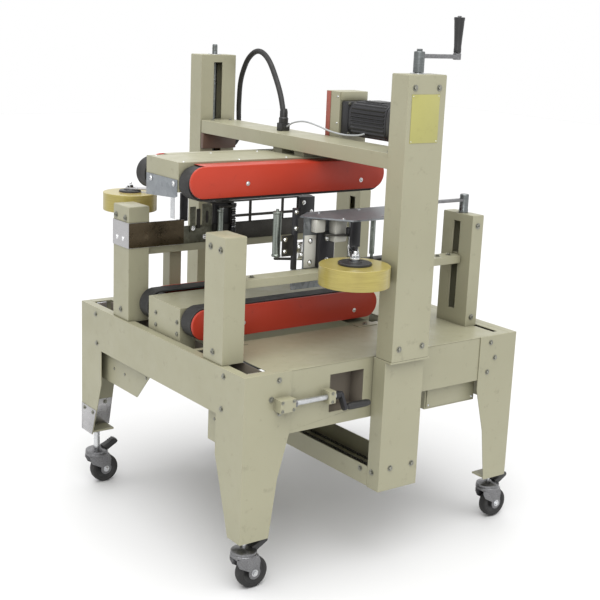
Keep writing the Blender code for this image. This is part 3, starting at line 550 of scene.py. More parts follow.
# ---- frame details ------------------------------------------------------------------------
HALF_L, HALF_W = 0.545, 0.514
MAST_OUT, SCREW_Y = 0.594, 0.55
LEFT, RIGHT, NEAR, FAR, UP = (-1, 0, 0), (1, 0, 0), (0, -1, 0), (0, 1, 0), (0, 0, 1)


def bolts(name, places, body, size=0.0055, kind="hex", shade=None, washer=True):
    """One piece of many bolt heads: (place, direction) pairs."""
    mesh = bmesh.new()
    for spot, normal in places:
        bolt_head(mesh, spot, normal, size, washer, kind)
    return finish_piece(name, mesh, shade or BOLT, body, smooth=40)


rail_bolts = []
for end_x, way in ((-HALF_L, LEFT), (HALF_L, RIGHT)):
    for y in (-0.405, 0.405):
        rail_bolts += [((end_x, y, 0.646), way), ((end_x, y * 0.98, 0.545), way)]
for y_face, way in ((-HALF_W, NEAR), (HALF_W, FAR)):
    for x in (-0.425, 0.427):
        side = 1 if x > 0 else -1
        rail_bolts += [((x, y_face, 0.646), way), ((side * 0.451, y_face, 0.592), way),
                       ((side * 0.42, y_face, 0.546), way)]
bolts("rail_bolts", rail_bolts, "frame", 0.0058)
gusset_bolts = [((-0.5155, y, z), LEFT) for y, z in ((-0.32, 0.486), (-0.4, 0.486), (0.32, 0.47),
                                                       (0.245, 0.47), (0.098, 0.496))]
gusset_bolts += [((0.5155, y, 0.486), RIGHT) for y in (-0.32, -0.4, 0.32, 0.4)]
bolts("gusset_bolts", gusset_bolts, "frame", 0.005)
mast_bolts = []
for side, way in ((-1, NEAR), (1, FAR)):
    for x in (-0.046, 0.046):
        mast_bolts += [((x, side * MAST_OUT, 1.479), way), ((x, side * MAST_OUT, 0.707), way)]
    for x in (-0.031, 0.056):
        mast_bolts.append(((x, side * 0.57, 0.317), way))
    mast_bolts.append(((-0.0755, side * 0.535, 0.3), LEFT))
    mast_bolts.append(((-0.0755, side * 0.48, 0.296), LEFT))
bolts("mast_bolts", mast_bolts, "frame", 0.0062)

caps = bmesh.new()
for side in (-1, 1):
    solid_box((-0.0715, side * 0.557 - 0.036, 1.5135), (0.0715, side * 0.557 + 0.036, 1.5165), 0.001, caps)
finish_piece("mast_caps", caps, CREAM, "frame", smooth=30)
collars = bmesh.new()
for side in (-1, 1):
    lathe([(0.0112, 1.516), (0.024, 1.516), (0.024, 1.5185), (0.018, 1.5195), (0.0112, 1.5195)],
          (0, side * SCREW_Y, 0), steps=28, mesh=collars)
    for turn in range(3):
        angle = math.radians(30 + 120 * turn)
        bolt_head(collars, (0.0205 * math.cos(angle), side * SCREW_Y + 0.0205 * math.sin(angle), 1.5175),
                  UP,
                  0.0022, False, "socket")
finish_piece("screw_collars", collars, ZINC, "frame")

# A plain plate without any marking stands where a label would be.
label = prism([(-0.057, 1.322), (0.05, 1.322), (0.05, 1.461), (-0.057, 1.461)], 1, -MAST_OUT - 0.0011,
              -MAST_OUT - 0.0001, 0.0004)
finish_piece("blank_plate", label, LABEL, "frame")
rivets = [((x, -MAST_OUT - 0.001, z), NEAR) for x in (-0.052, 0.045) for z in (1.327, 1.456)]
bolts("plate_rivets", rivets, "frame", 0.0016, "dome", ZINC, False)


def ridged(low, high, radius, pitch=0.0048, depth=0.0011):
    """A screw's side: close ridges between plain ends."""
    points, z = [(0, low), (radius - depth, low)], low
    while z + pitch < high:
        points += [(radius - depth, z + 0.0003), (radius, z + pitch * 0.42), (radius, z + pitch * 0.55),
                   (radius - depth, z + pitch - 0.0001)]
        z += pitch
    return points + [(radius - depth * 1.5, high), (0, high)]


for side, body, top in ((-1, "lift_drive", 1.52), (1, "lift_idler", 1.552)):
    rod_mesh = lathe(ridged(0.262, top, 0.01), (0, side * SCREW_Y, 0), steps=14)
    teeth = [((0.0142 + 0.0013 * (k % 2)) * math.cos(2 * math.pi * k / 28),
              (0.0142 + 0.0013 * (k % 2)) * math.sin(2 * math.pi * k / 28)) for k in range(28)]
    wheel = prism([(x, y + side * SCREW_Y) for x, y in teeth], 2, 0.281, 0.287)
    compound("lift_screw_thread_" + ("near" if side < 0 else "far"),
             [(rod_mesh, SHAFT), (wheel, BLACKENED)],
             body, replaces=["lift_screw_near" if side < 0 else "lift_screw_far"])

links = bmesh.new()
STEP, LINKS = 0.0127, 86
for strand in (-0.016, 0.016):
    for k in range(LINKS):
        y = -SCREW_Y + 0.004 + k * STEP
        wide = 0.0026 if k % 2 else 0.0036
        for z in (0.284 - wide, 0.284 + wide - 0.001):
            solid_box((strand - 0.0028, y - 0.002, z), (strand + 0.0028, y + STEP + 0.002, z + 0.001),
                      mesh=links)
        lathe([(0, 0.2806), (0.002, 0.2806), (0.002, 0.2874), (0, 0.2874)], (strand, y, 0), steps=8,
              mesh=links)
finish_piece("lift_chain", links, BLACKENED, "frame")

# The short leg ends in a bright adjusting foot held by two bolts.
foot = bmesh.new()
prism([(0.4022, 0.298), (0.4345, 0.2005), (0.5135, 0.2005), (0.5135, 0.298)], 0, -0.5466, -0.5451, 0.0005,
      foot)
prism([(-0.5445, 0.298), (-0.5445, 0.2005), (-0.4395, 0.2005), (-0.4265, 0.298)], 1, 0.5104, 0.5118,
      0.0005, foot)
solid_box((-0.5445, 0.4505, 0.1992), (-0.453, 0.513, 0.2002), mesh=foot)
finish_piece("short_leg_foot", foot, STAINLESS, "frame")
bolts("short_leg_foot_bolts", [((-0.5466, 0.425, 0.286), LEFT), ((-0.456, 0.5104, 0.286), NEAR),
                               ((-0.5466, 0.49, 0.286), LEFT)], "frame", 0.0052)

# The pocket behind the operator's opening, its walls in a darker colour that is painted shade for the
# inside of the recess.
pocket = bmesh.new()
solid_box((-0.2385, -0.445, 0.513), (-0.1055, -0.443, 0.637), mesh=pocket)
solid_box((-0.2405, -0.507, 0.513), (-0.2385, -0.443, 0.637), mesh=pocket)
solid_box((-0.1055, -0.507, 0.513), (-0.1035, -0.443, 0.637), mesh=pocket)
solid_box((-0.2385, -0.507, 0.511), (-0.1055, -0.443, 0.513), mesh=pocket)
solid_box((-0.2385, -0.507, 0.637), (-0.1055, -0.443, 0.639), mesh=pocket)
finish_piece("panel_pocket", pocket, POCKET, "frame")
bearing_bolts = [((x, -0.547, z), NEAR) for x in (-0.433, -0.393) for z in (0.562, 0.588)]
bearing_bolts += [((-0.252, -0.547, z), NEAR) for z in (0.562, 0.588)]
bolts("bearing_bolts", bearing_bolts, "frame", 0.0035, "socket")

# Under the table: the width spindles with their bearings, and the lower motor.
SPINDLE_XS = (-0.4875, 0.476)
spindles, blocks = bmesh.new(), bmesh.new()
for x in SPINDLE_XS:
    lathe(ridged(-0.47, 0.47, 0.0075, 0.006), (x, 0, 0.633), "y", 12, spindles)
    for y in (-0.482, 0.0, 0.47):
        solid_box((x - 0.018, y, 0.618), (x + 0.018, y + 0.014, 0.6655), 0.0015, blocks)
# Dark trays under the spindles, in the same painted-shade colour, stand for the shade under the table.
trays = bmesh.new()
for x in SPINDLE_XS:
    for low, high in ((-0.034, -0.0325), (0.0325, 0.034)):
        solid_box((x + low, -0.468, 0.596), (x + high, 0.468, 0.6645), mesh=trays)
    solid_box((x - 0.034, -0.468, 0.5945), (x + 0.034, 0.468, 0.596), mesh=trays)
finish_piece("spindle_trays", trays, POCKET, "frame")
finish_piece("width_spindles", spindles, MACHINED, "frame")
finish_piece("spindle_bearings", blocks, ALLOY, "frame")

LOWER_AXIS_Z = 0.56
motor = squircle(0.052, 3.0, 96, 0.0035)
stator = prism([(y, z + LOWER_AXIS_Z) for y, z in motor], 0, -0.135, -0.03)
front = prism([(y, z + LOWER_AXIS_Z) for y, z in squircle(0.054, 3.0, 64)], 0, -0.03, -0.018, 0.002)
fan = prism([(y, z + LOWER_AXIS_Z) for y, z in squircle(0.055, 3.0, 64)], 0, -0.178, -0.137, 0.004)
gears = solid_box((-0.018, -0.052, 0.502), (0.058, 0.052, 0.6185), 0.005)
output = lathe([(0, -0.078), (0.03, -0.078), (0.03, -0.06), (0.036, -0.052), (0, -0.052)],
               (0.02, 0, LOWER_AXIS_Z),
               "y", 28)
other = lathe([(0, 0.052), (0.036, 0.052), (0.03, 0.06), (0.03, 0.078), (0, 0.078)],
              (0.02, 0, LOWER_AXIS_Z), "y", 28)
wires = solid_box((-0.11, -0.0795, 0.545), (-0.05, -0.05, 0.59), 0.003)
compound("lower_gear_motor", [(stator, BLACK_PAINT), (front, ALLOY), (fan, BLACK_PAINT), (gears, ALLOY),
                              (output, MACHINED), (other, MACHINED), (wires, PLASTIC)], "frame",
         replaces=["lower_motor"])
bolts("lower_motor_bolts", [((x, -0.052, z), NEAR) for x in (-0.01, 0.05) for z in (0.512, 0.608)]
      + [((x, 0.052, z), FAR) for x in (-0.01, 0.05) for z in (0.512, 0.608)], "frame", 0.0045, "socket")

lid = prism([(0.186, 0.451), (0.394, 0.451), (0.394, 0.649), (0.186, 0.649)], 1, -0.4835, -0.4802, 0.0012)
finish_piece("switch_box_lid", lid, CREAM, "frame")
bolts("switch_box_screws", [((x, -0.4835, z), NEAR) for x in (0.194, 0.386) for z in (0.459, 0.641)],
      "frame",
      0.0036, "dome", ZINC, False)
gland = bmesh.new()
for x in (0.235, 0.275):
    lathe([(0, 0.428), (0.0075, 0.428), (0.0095, 0.434), (0.0095, 0.44), (0.013, 0.44), (0.013, 0.4448),
           (0, 0.4448)], (x, -0.43, 0), steps=20, mesh=gland)
finish_piece("switch_box_glands", gland, PLASTIC, "frame")
base = solid_box((0.2, -0.4746, 0.46), (0.38, -0.47, 0.64))
relays = bmesh.new()
for k, x in enumerate((0.215, 0.262, 0.309)):
    solid_box((x, -0.47, 0.56), (x + 0.038, -0.425, 0.625), 0.002, relays)
solid_box((0.215, -0.47, 0.48), (0.347, -0.44, 0.505), 0.0015, relays)
compound("switch_gear", [(base, GALVANISED), (relays, PLASTIC)], "frame")

# ---- belts, guards and their drives -------------------------------------------------------
BELT_R, BELT_T, GUARD_R, OUTFEED_X = 0.05, 0.006, 0.048, 0.167
UNITS = {"upper": (-0.478, 1.164, 0.007, "gantry"), "lower": (-0.4625, 0.733, 0.0, "frame")}
for level, (x_low, z, rise, body) in UNITS.items():
    for side, way in (("near", -1), ("far", 1)):
        low, high = sorted((way * 0.105, way * 0.16))
        band = ring_prism(stadium(BELT_R, x_low, OUTFEED_X, z, 40),
                          stadium(BELT_R - BELT_T, x_low, OUTFEED_X, z, 40),
                          1, low, high)
        finish_piece(f"{level}_drive_belt_{side}", band, RUBBER, body, smooth=25, bevel=0.0012,
                     replaces=[f"{level}_belt_{side}"])
        low, high = sorted((way * 0.163, way * 0.175))
        top = z + rise
        cover_x = x_low - 0.002 if side == "near" else x_low + 0.045
        shell = prism(stadium(GUARD_R, cover_x, OUTFEED_X, top, 40), 1, low, high, 0.003)
        parts = [(shell, ORANGE)]
        if level == "upper":
            low, high = sorted((way * 0.0985, way * 0.1735))
            parts.append((solid_box((cover_x + 0.008, low, top + GUARD_R - 0.002),
                                    (OUTFEED_X + 0.01, high, top + GUARD_R), 0.0006),
                          ORANGE if side == "near" else CREAM))
        low, high = sorted((way * 0.0985, way * 0.165))
        for x in (-0.33, 0.03):
            parts.append((pole(0.009, (x, 0, top), "y", low, high, 16), ZINC))
        compound(f"{level}_belt_cover_{side}", parts, body, 30,
                 replaces=[f"{level}_guard_{side}"])
        heads = [((x, way * 0.1748, top - dz), (0, way, 0)) for x, dz in ((-0.326, 0.008), (0.117, 0.018))]
        bolts(f"{level}_cover_screws_{side}", heads, body, 0.0046, "dome", ZINC)
    for end, x in (("infeed", x_low), ("outfeed", OUTFEED_X)):
        drum = BELT_R - BELT_T - 0.0006
        profile = [(0, -0.159)]
        profile += [(0.016, -0.159), (0.018, -0.156), (0.034, -0.156), (0.036, -0.159),
                    (drum - 0.001, -0.159),
                    (drum, -0.157), (drum, -0.108), (drum - 0.001, -0.106), (0.036, -0.106),
                    (0.034, -0.109),
                    (0.018, -0.109), (0.012, -0.104)]
        profile += [(r, -y) for r, y in profile[::-1]]
        drums = lathe(profile, (x, 0, z), "y", 48)
        finish_piece(f"{level}_pulleys_{end}", drums, ALLOY, f"{level}_{end}_pulleys",
                     replaces=[f"{level}_roller_{end}"])

end_bolts = [((-0.512, y, z), LEFT) for y, z in ((0.05, 0.729), (-0.082, 0.727), (0.05, 0.69),
                                                 (-0.082, 0.69))]
bolts("lower_housing_bolts", end_bolts, "frame", 0.005, "socket")
strap_bolts = [((x, y, 0.6714), UP) for x in (-0.38, 0.14) for y in (-0.208, 0.208)]
bolts("strap_bolts", strap_bolts, "frame", 0.0062)
GUIDE_X = -0.5253
sheet = prism([(-0.094, 1.1215), (-0.078, 1.1165), (0.094, 1.104), (0.094, 1.172), (-0.094, 1.172)], 0,
              GUIDE_X - 0.0025,
              GUIDE_X, 0.0005)
tongue = solid_box((GUIDE_X - 0.002, -0.08, 1.052), (GUIDE_X - 0.0002, -0.056, 1.13), 0.0004)
compound("guide_plate_folded", [(sheet, GALVANISED), (tongue, ZINC)], "gantry",
         replaces=["infeed_guide_plate"])
guide_bolts = [((-0.5284, 0.064, 1.159), LEFT), ((-0.5284, -0.074, 1.159), LEFT)]
bolts("guide_plate_bolts", guide_bolts, "gantry", 0.0058, "dome", ZINC)
seam = bmesh.new()
for x_a, x_b in ((-0.5245, -0.5215), (0.2465, 0.2495)):
    solid_box((x_a, -0.0975, 1.2236), (x_b, 0.0975, 1.2246), 0.0003, seam)
for y in (-0.0975, 0.0945):
    solid_box((-0.5245, y, 1.2236), (0.2495, y + 0.003, 1.2246), 0.0003, seam)
finish_piece("housing_top_seam", seam, CREAM, "gantry")
bolts("housing_top_screws", [((x, y, 1.2238), UP) for x in (-0.5, -0.3, -0.12) for y in (-0.083, 0.083)],
      "gantry", 0.0036, "dome", ZINC, False)

# A dark brown block under the beam's far end, just inside the far mast.
dark_block = bmesh.new()
solid_box((-0.072, 0.5, 1.184), (0.068, 0.5185, 1.2392), 0.0015, dark_block)
finish_piece("beam_end_dark_block", dark_block, BROWN, "gantry")
beam_bolts = [((x, way * 0.49, 1.286), UP) for x in (-0.04, 0.035) for way in (-1, 1)]
bolts("beam_bolts", beam_bolts, "gantry", 0.005)

# Upper drive: chain cover with its red edge, cream cap plate and the finned motor.
strip = solid_box((0.0684, -0.056, 1.226), (0.0698, -0.034, 1.431), 0.0004)
finish_piece("chain_cover_edge", strip, RED, "gantry")
cap = solid_box((0.073, -0.1062, 1.4045), (0.183, -0.1037, 1.4315), 0.0008)
finish_piece("chain_cover_plate", cap, CREAM, "gantry")
cover_screws = [((0.07, -0.092, z), LEFT) for z in (1.25, 1.33, 1.415)]
bolts("chain_cover_screws", cover_screws, "gantry", 0.0034, "dome", ZINC, False)
MOTOR_X, MOTOR_Z = 0.131, 1.35


def motor_outline(half, power, count, ridge=0.0):
    return [(MOTOR_X + x, MOTOR_Z + z) for x, z in squircle(half, power, count, ridge)]


parts = [
    (solid_box((0.076, -0.14, 1.295), (0.186, -0.1042, 1.403), 0.005), BLACK_PAINT),
    (prism(motor_outline(0.053, 4.0, 64), 1, -0.158, -0.14, 0.003), BLACK_PAINT),
    (prism(motor_outline(0.0545, 4.0, 120, 0.004), 1, -0.322, -0.158), BLACK_PAINT),
    (prism(motor_outline(0.057, 4.0, 64), 1, -0.332, -0.322, 0.002), BLACK_PAINT),
    (prism(motor_outline(0.059, 3.4, 64), 1, -0.372, -0.332, 0.006), PLASTIC),
    (solid_box((0.1, -0.275, 1.404), (0.16, -0.195, 1.4108), 0.002), PLASTIC)]
compound("upper_gear_motor", parts, "gantry", 30, replaces=["upper_motor"])
bolts("upper_motor_bolts", [((x, -0.14, z), NEAR) for x in (0.083, 0.179) for z in (1.302, 1.396)],
      "gantry",
      0.0045, "socket")
vents = bmesh.new()
for k in range(5):
    radius = 0.01 + 0.009 * k
    lathe([(radius, -0.3727), (radius + 0.004, -0.3727), (radius + 0.004, -0.3712), (radius, -0.3712)],
          (MOTOR_X, 0, MOTOR_Z), "y", 40, vents)
finish_piece("motor_vent_rings", vents, RUBBER, "gantry")

# ---- conduit and motor cable --------------------------------------------------------------
def smooth_points(route, count):
    """Evenly spread points on a smooth curve through the route's points."""
    ends = [2 * Vector(route[0]) - Vector(route[1])] + [Vector(p) for p in route]
    ends.append(2 * Vector(route[-1]) - Vector(route[-2]))
    fine = []
    for a, b, c, d in zip(ends, ends[1:], ends[2:], ends[3:]):
        for k in range(24):
            t = k / 24
            fine.append(0.5 * ((2 * b) + (c - a) * t + (2 * a - 5 * b + 4 * c - d) * t * t
                               + (3 * b - a - 3 * c + d) * t ** 3))
    fine.append(Vector(route[-1]))
    reach = [0.0]
    for a, b in zip(fine, fine[1:]):
        reach.append(reach[-1] + (b - a).length)
    points, at = [], 0
    for k in range(count):
        target = reach[-1] * k / (count - 1)
        while at < len(reach) - 2 and reach[at + 1] < target:
            at += 1
        span = reach[at + 1] - reach[at]
        points.append(fine[at].lerp(fine[at + 1], (target - reach[at]) / span if span else 0.0))
    return points


CONDUIT_ROUTE = [
    (0.076, 0.557, 1.19), (0.096, 0.557, 1.191), (0.113, 0.556, 1.215), (0.113, 0.552, 1.27),
    (0.107, 0.545, 1.34), (0.099, 0.525, 1.425), (0.09, 0.48, 1.49), (0.08, 0.43, 1.523),
    (0.068, 0.375, 1.537), (0.056, 0.32, 1.531), (0.042, 0.262, 1.506), (0.028, 0.205, 1.46),
    (0.014, 0.152, 1.405), (0.005, 0.12, 1.352), (0.002, 0.111, 1.328), (0.002, 0.111, 1.314)]
CABLE_ROUTE = [
    (0.006, 0.0955, 1.302), (0.01, 0.064, 1.318), (0.018, 0.015, 1.326), (0.03, -0.04, 1.318),
    (0.042, -0.1, 1.304), (0.052, -0.16, 1.299), (0.061, -0.215, 1.303), (0.066, -0.24, 1.31)]
HOSE_R, LEAD_R = 0.0095, 0.003
hose_line = smooth_points(CONDUIT_ROUTE, 330)
hose = finish_piece("conduit_hose", tube(hose_line, HOSE_R, 14, ripple=0.08), RUBBER, None,
                    60,
                    replaces=["conduit"])
wall_gland = lathe([(0, 0.0727), (0.016, 0.0727), (0.016, 0.078), (0.0125, 0.08), (0.0125, 0.09),
                    (0.01, 0.093), (0, 0.093)], (0, 0.557, 1.19), "x", 6)
finish_piece("conduit_gland_mast", wall_gland, PLASTIC, "frame", smooth=30)
beam_gland = lathe([(0, 1.3125), (0.0155, 1.3125), (0.016, 1.314), (0.016, 1.329), (0.0135, 1.332),
                    (0.0135, 1.35), (0.0105, 1.36), (0, 1.36)], (0.002, 0.111, 0), steps=28)
solid_box((-0.015, 0.0962, 1.2866), (0.019, 0.1258, 1.3128), 0.002, beam_gland)
finish_piece("conduit_gland_beam", beam_gland, PLASTIC, "gantry")
hose_path = smooth_points(CONDUIT_ROUTE, 36)
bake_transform(hose)
cable_line = smooth_points(CABLE_ROUTE, 70)
lead = finish_piece("motor_lead", tube(cable_line, LEAD_R, 10), CABLE, "gantry", 60,
                    replaces=["motor_cable"])
lead_path = smooth_points(CABLE_ROUTE, 26)

# ---- cranks -------------------------------------------------------------------------------
def bar_between(start, end, wide, low, high, bevel=0.0015, taper=1.0):
    """A flat bar lying level from one point to another; taper narrows its far end."""
    run = Vector((end[0] - start[0], end[1] - start[1]))
    along, count = run.normalized(), 8
    across = Vector((-along.y, along.x))
    points = []
    for centre, half, first in ((Vector(end), wide * taper, -math.pi / 2),
                                (Vector(start), wide, math.pi / 2)):
        for k in range(count + 1):
            angle = first + math.pi * k / count
            points.append(centre + along * (half * math.cos(angle)) + across * (half * math.sin(angle)))
    return prism([(p.x, p.y) for p in points], 2, low, high, bevel)


hub = lathe([(0, 1.5205), (0.016, 1.5205), (0.016, 1.578), (0.0145, 1.58), (0, 1.58)], (0, -SCREW_Y, 0),
            steps=32)
nut = lathe([(0, 1.58), (0.009, 1.58), (0.009, 1.586), (0.0078, 1.5872), (0, 1.5872)], (0, -SCREW_Y, 0),
            steps=6)
web = bar_between((0, -SCREW_Y), (0.148, -SCREW_Y), 0.014, 1.561, 1.573, 0.002, 0.75)
boss = lathe([(0, 1.558), (0.011, 1.558), (0.012, 1.559), (0.012, 1.576), (0.0105, 1.577), (0, 1.577)],
             (0.148, -SCREW_Y, 0), steps=28)
pin = lathe([(0, 1.57), (0.004, 1.57), (0.004, 1.6805), (0.0065, 1.6808), (0.0065, 1.6826), (0.004, 1.6838),
             (0, 1.6838)], (0.148, -SCREW_Y, 0), steps=20)
compound("lift_crank_parts", [(hub, SHAFT), (nut, SHAFT), (web, FORK), (boss, FORK), (pin, FORK)],
         "lift_drive",
         30, replaces=["lift_crank"])
grip = lathe([(0.0046, 1.5776), (0.01, 1.5776), (0.0112, 1.579), (0.0112, 1.588), (0.0108, 1.596),
              (0.0118, 1.615), (0.013, 1.635), (0.0142, 1.653), (0.015, 1.669), (0.016, 1.673),
              (0.016, 1.679), (0.0145, 1.68), (0.0046, 1.68)], (0.148, -SCREW_Y, 0), steps=32)
finish_piece("lift_grip_turned", grip, PLASTIC, "lift_grip", smooth=50, replaces=["lift_crank_grip"])

BAR_Y_NEAR, HEAD_SCREW_X = -0.312, 0.455
screw = lathe(ridged(0.69, 1.046, 0.008, 0.0044, 0.0009), (HEAD_SCREW_X, BAR_Y_NEAR, 0), steps=14)
hub = lathe([(0, 1.0465), (0.016, 1.0465), (0.016, 1.056), (0.015, 1.058), (0.015, 1.106), (0.0135, 1.108),
             (0, 1.108)],
            (HEAD_SCREW_X, BAR_Y_NEAR, 0), steps=28)
web = bar_between((HEAD_SCREW_X, BAR_Y_NEAR), (0.32, BAR_Y_NEAR), 0.0095, 1.084, 1.0935, 0.0015, 0.85)
knob = lathe([(0, 1.088), (0.0055, 1.088), (0.0055, 1.095), (0.009, 1.098), (0.011, 1.115), (0.0112, 1.135),
              (0.009, 1.147), (0.0055, 1.15), (0, 1.15)], (0.32, BAR_Y_NEAR, 0), steps=28)
compound("head_crank_parts", [(screw, MACHINED), (hub, SHAFT), (web, FORK), (knob, PLASTIC)],
         "near_head_drive",
         35, replaces=["head_crank"])

CRANK_Y, CRANK_Z = -0.532, 0.575
shaft = pole(0.008, (0, CRANK_Y, CRANK_Z), "x", -0.424, -0.205, 24, 0.0015)
ring = pole(0.0125, (0, CRANK_Y, CRANK_Z), "x", -0.384, -0.376, 24, 0.001)
outline = [(CRANK_Y + 0.01 * math.cos(a) if k < 9 else CRANK_Y - 0.02 + 0.0105 * math.cos(a),
            CRANK_Z + 0.01 * math.sin(a) if k < 9 else CRANK_Z - 0.034 + 0.0105 * math.sin(a))
           for k, a in enumerate([math.radians(-30 + 22.5 * n) for n in range(9)]
                                 + [math.radians(150 + 22.5 * n) for n in range(9)])]
web = prism(outline, 0, -0.216, -0.206, 0.0015)
handle = lathe([(0, -0.2085), (0.006, -0.2085), (0.006, -0.2), (0.0095, -0.197), (0.0112, -0.185),
                (0.0115, -0.15), (0.0112, -0.128), (0.0085, -0.116), (0.005, -0.114), (0, -0.114)],
               (0, CRANK_Y - 0.02, CRANK_Z - 0.034), "x", 28)
joint = lathe([(0, -0.218), (0.0125, -0.218), (0.0125, -0.229), (0.01, -0.231), (0, -0.231)],
              (0, CRANK_Y, CRANK_Z), "x", 24)
compound("width_crank_parts", [(shaft, ALLOY), (ring, FORK), (web, BLACK_PAINT), (handle, PLASTIC),
                               (joint, BLACK_PAINT)], "width_drive", 35, replaces=["width_crank"])

# ---- posts --------------------------------------------------------------------------------
near_spots = [((-0.537, -0.307, 1.011), LEFT), ((-0.537, -0.361, 1.008), LEFT),
              ((-0.537, -0.33, 0.7), LEFT)]
near_spots += [((0.48, -0.345, 1.011), RIGHT), ((0.48, -0.285, 1.011), RIGHT), ((0.48, -0.315, 0.7), RIGHT),
               ((0.455, -0.385, 1.011), NEAR), ((0.455, -0.385, 0.7), NEAR)]
far_spots = [((-0.537, 0.275, 1.011), LEFT), ((-0.537, 0.212, 1.009), LEFT), ((-0.537, 0.24, 0.7), LEFT)]
far_spots += [((0.48, 0.245, 1.011), RIGHT), ((0.48, 0.305, 1.011), RIGHT), ((0.48, 0.275, 0.7), RIGHT),
              ((0.455, 0.345, 1.011), FAR), ((-0.5, 0.293, 0.7), FAR)]
bolts("near_post_bolts", near_spots, "near_carriage", 0.0066, "socket")
bolts("far_post_bolts", far_spots, "far_carriage", 0.0066, "socket")
bolts("guide_wrap_bolts", [((-0.5405, 0.262, 0.94), LEFT), ((-0.5405, 0.222, 0.94), LEFT)], "far_carriage",
      0.005, "dome", CHROME)
for body, rows in (("near_carriage", ((-0.5, -0.33, 0.036, 0.0515), (0.455, -0.315, 0.024, 0.069))),
                   ("far_carriage", ((-0.5, 0.2405, 0.036, 0.0515), (0.455, 0.275, 0.024, 0.069)))):
    tops = bmesh.new()
    for x, y, half_x, half_y in rows:
        if x > 0 and body == "near_carriage":
            for low_y, high_y in ((y - half_y, BAR_Y_NEAR - 0.012), (BAR_Y_NEAR + 0.012, y + half_y)):
                solid_box((x - half_x, low_y, 1.044), (x + half_x, high_y, 1.0462), 0.0008, tops)
        else:
            solid_box((x - half_x, y - half_y, 1.044), (x + half_x, y + half_y, 1.0462), 0.0008, tops)
    finish_piece(body + "_post_caps", tops, CREAM, body)
finish_piece("head_crank_bush", lathe([(0.0088, 1.0445), (0.0112, 1.0445), (0.0112, 1.0465),
                                       (0.0088, 1.0465)],
                                      (HEAD_SCREW_X, BAR_Y_NEAR, 0), steps=24), BRASS, "near_carriage")

# ---- near tape head -----------------------------------------------------------------------
silver = solid_box((-0.184, -0.285, 0.908), (-0.14, -0.2818, 1.01), 0.0008)
dark = solid_box((-0.138, -0.301, 0.908), (-0.08, -0.2818, 1.018), 0.0015)
pale_a = solid_box((-0.16, -0.306, 1.02), (-0.122, -0.2818, 1.06), 0.002)
pale_b = solid_box((-0.101, -0.33, 0.99), (-0.056, -0.296, 1.0625), 0.0025)
lever = bar_between((-0.12, -0.31), (-0.06, -0.345), 0.01, 1.01, 1.016)
knob = lathe([(0, 1.016), (0.008, 1.016), (0.0095, 1.02), (0.0095, 1.034), (0.007, 1.038), (0, 1.038)],
             (-0.06, -0.345, 0), steps=20)
compound("near_head_blocks", [(dark, BLACK_PAINT), (silver, PALE), (pale_a, PALE), (pale_b, PALE),
                              (lever, BLACKENED), (knob, BLACK_PAINT)], "near_head")
standard = solid_box((-0.2245, -0.2825, 0.906), (-0.2095, -0.269, 1.0965), 0.0012)
side = solid_box((-0.266, -0.2815, 0.95), (-0.224, -0.2775, 1.015), 0.001)
compound("near_roller_standard", [(standard, BLACK_PAINT), (side, BLACKENED)], "near_head")
bolts("near_standard_bolts", [((-0.255, -0.2815, 1.002), NEAR), ((-0.255, -0.2815, 0.966), NEAR),
                              ((-0.217, -0.2825, 1.085), NEAR), ((-0.217, -0.2825, 1.035), NEAR)],
      "near_head",
      0.0048, "hex", CHROME)
studs = solid_box((-0.209, -0.281, 0.936), (-0.186, -0.2765, 0.99), 0.001)
compound("near_chrome_block", [(studs, CHROME)], "near_head")
bolts("near_chrome_studs", [((-0.203, -0.281, 0.976), NEAR), ((-0.193, -0.281, 0.95), NEAR),
                            ((-0.162, -0.285, 0.992), NEAR), ((-0.162, -0.285, 0.924), NEAR),
                            ((-0.11, -0.301, 0.93), NEAR), ((-0.11, -0.301, 1.0), NEAR)], "near_head",
      0.0058, "dome", CHROME)
bolts("near_top_plate_screws", [((x, y, 1.0681), UP) for x in (-0.1, 0.06, 0.205) for y in (-0.24, -0.365)],
      "near_head", 0.0046, "socket", ZINC)
drop = solid_box((-0.088, -0.3935, 0.9845), (-0.053, -0.383, 1.0628), 0.0012)
compound("near_roll_drop", [(drop, BLACK_PAINT)], "near_head")
guide = bmesh.new()
for x, y in ((0.03, -0.245), (0.12, -0.245), (0.2, -0.25)):
    lathe([(0, 0.91), (0.005, 0.91), (0.005, 0.92), (0.0085, 0.921), (0.0085, 1.054), (0.005, 1.055),
           (0.005, 1.0628), (0, 1.0628)], (x, y, 0), steps=20, mesh=guide)
finish_piece("near_guide_rollers", guide, ROLLER, "near_head")
foot = solid_box((0.01, -0.2755, 0.9), (0.215, -0.235, 0.9098), 0.0012)
finish_piece("near_guide_foot", foot, BLACKENED, "near_head")
blade = prism([(0.0, 0.93), (0.022, 0.93), (0.022, 1.04), (0.0, 1.052)], 1, -0.274, -0.2725)
finish_piece("near_cutter_guard", blade, STAINLESS, "near_head")

ROLL_NEAR, ROLL_FAR = (-0.19, -0.54), (-0.42, 0.4)


def roll_piece(name, spot, radius, low, hub_radius, body, node):
    """Wound tape on its card core, with the hub that it turns on."""
    high = low + 0.06
    turns = [(0.0385, low), (radius - 0.0015, low), (radius, low + 0.0012), (radius, high - 0.0012),
             (radius - 0.0015, high), (0.0385, high)]
    tape = lathe(turns, (*spot, 0), steps=72)
    core = lathe([(0.035, low - 0.001), (0.0386, low - 0.001), (0.0386, high + 0.001),
                  (0.035, high + 0.001)],
                 (*spot, 0), steps=48)
    hub = [(0.0115, low - 0.004), (0.034, low - 0.004), (0.0345, low - 0.002), (0.0345, high + 0.0006),
           (hub_radius, high + 0.0006), (hub_radius, high + 0.006), (hub_radius - 0.002, high + 0.0075),
           (0.022, high + 0.008), (0.02, high + 0.011), (0.0115, high + 0.011)]
    parts = [(tape, TAPE), (core, CARD), (lathe(hub, (*spot, 0), steps=48), PLASTIC)]
    return compound(name, parts, body, 35, replaces=[node])


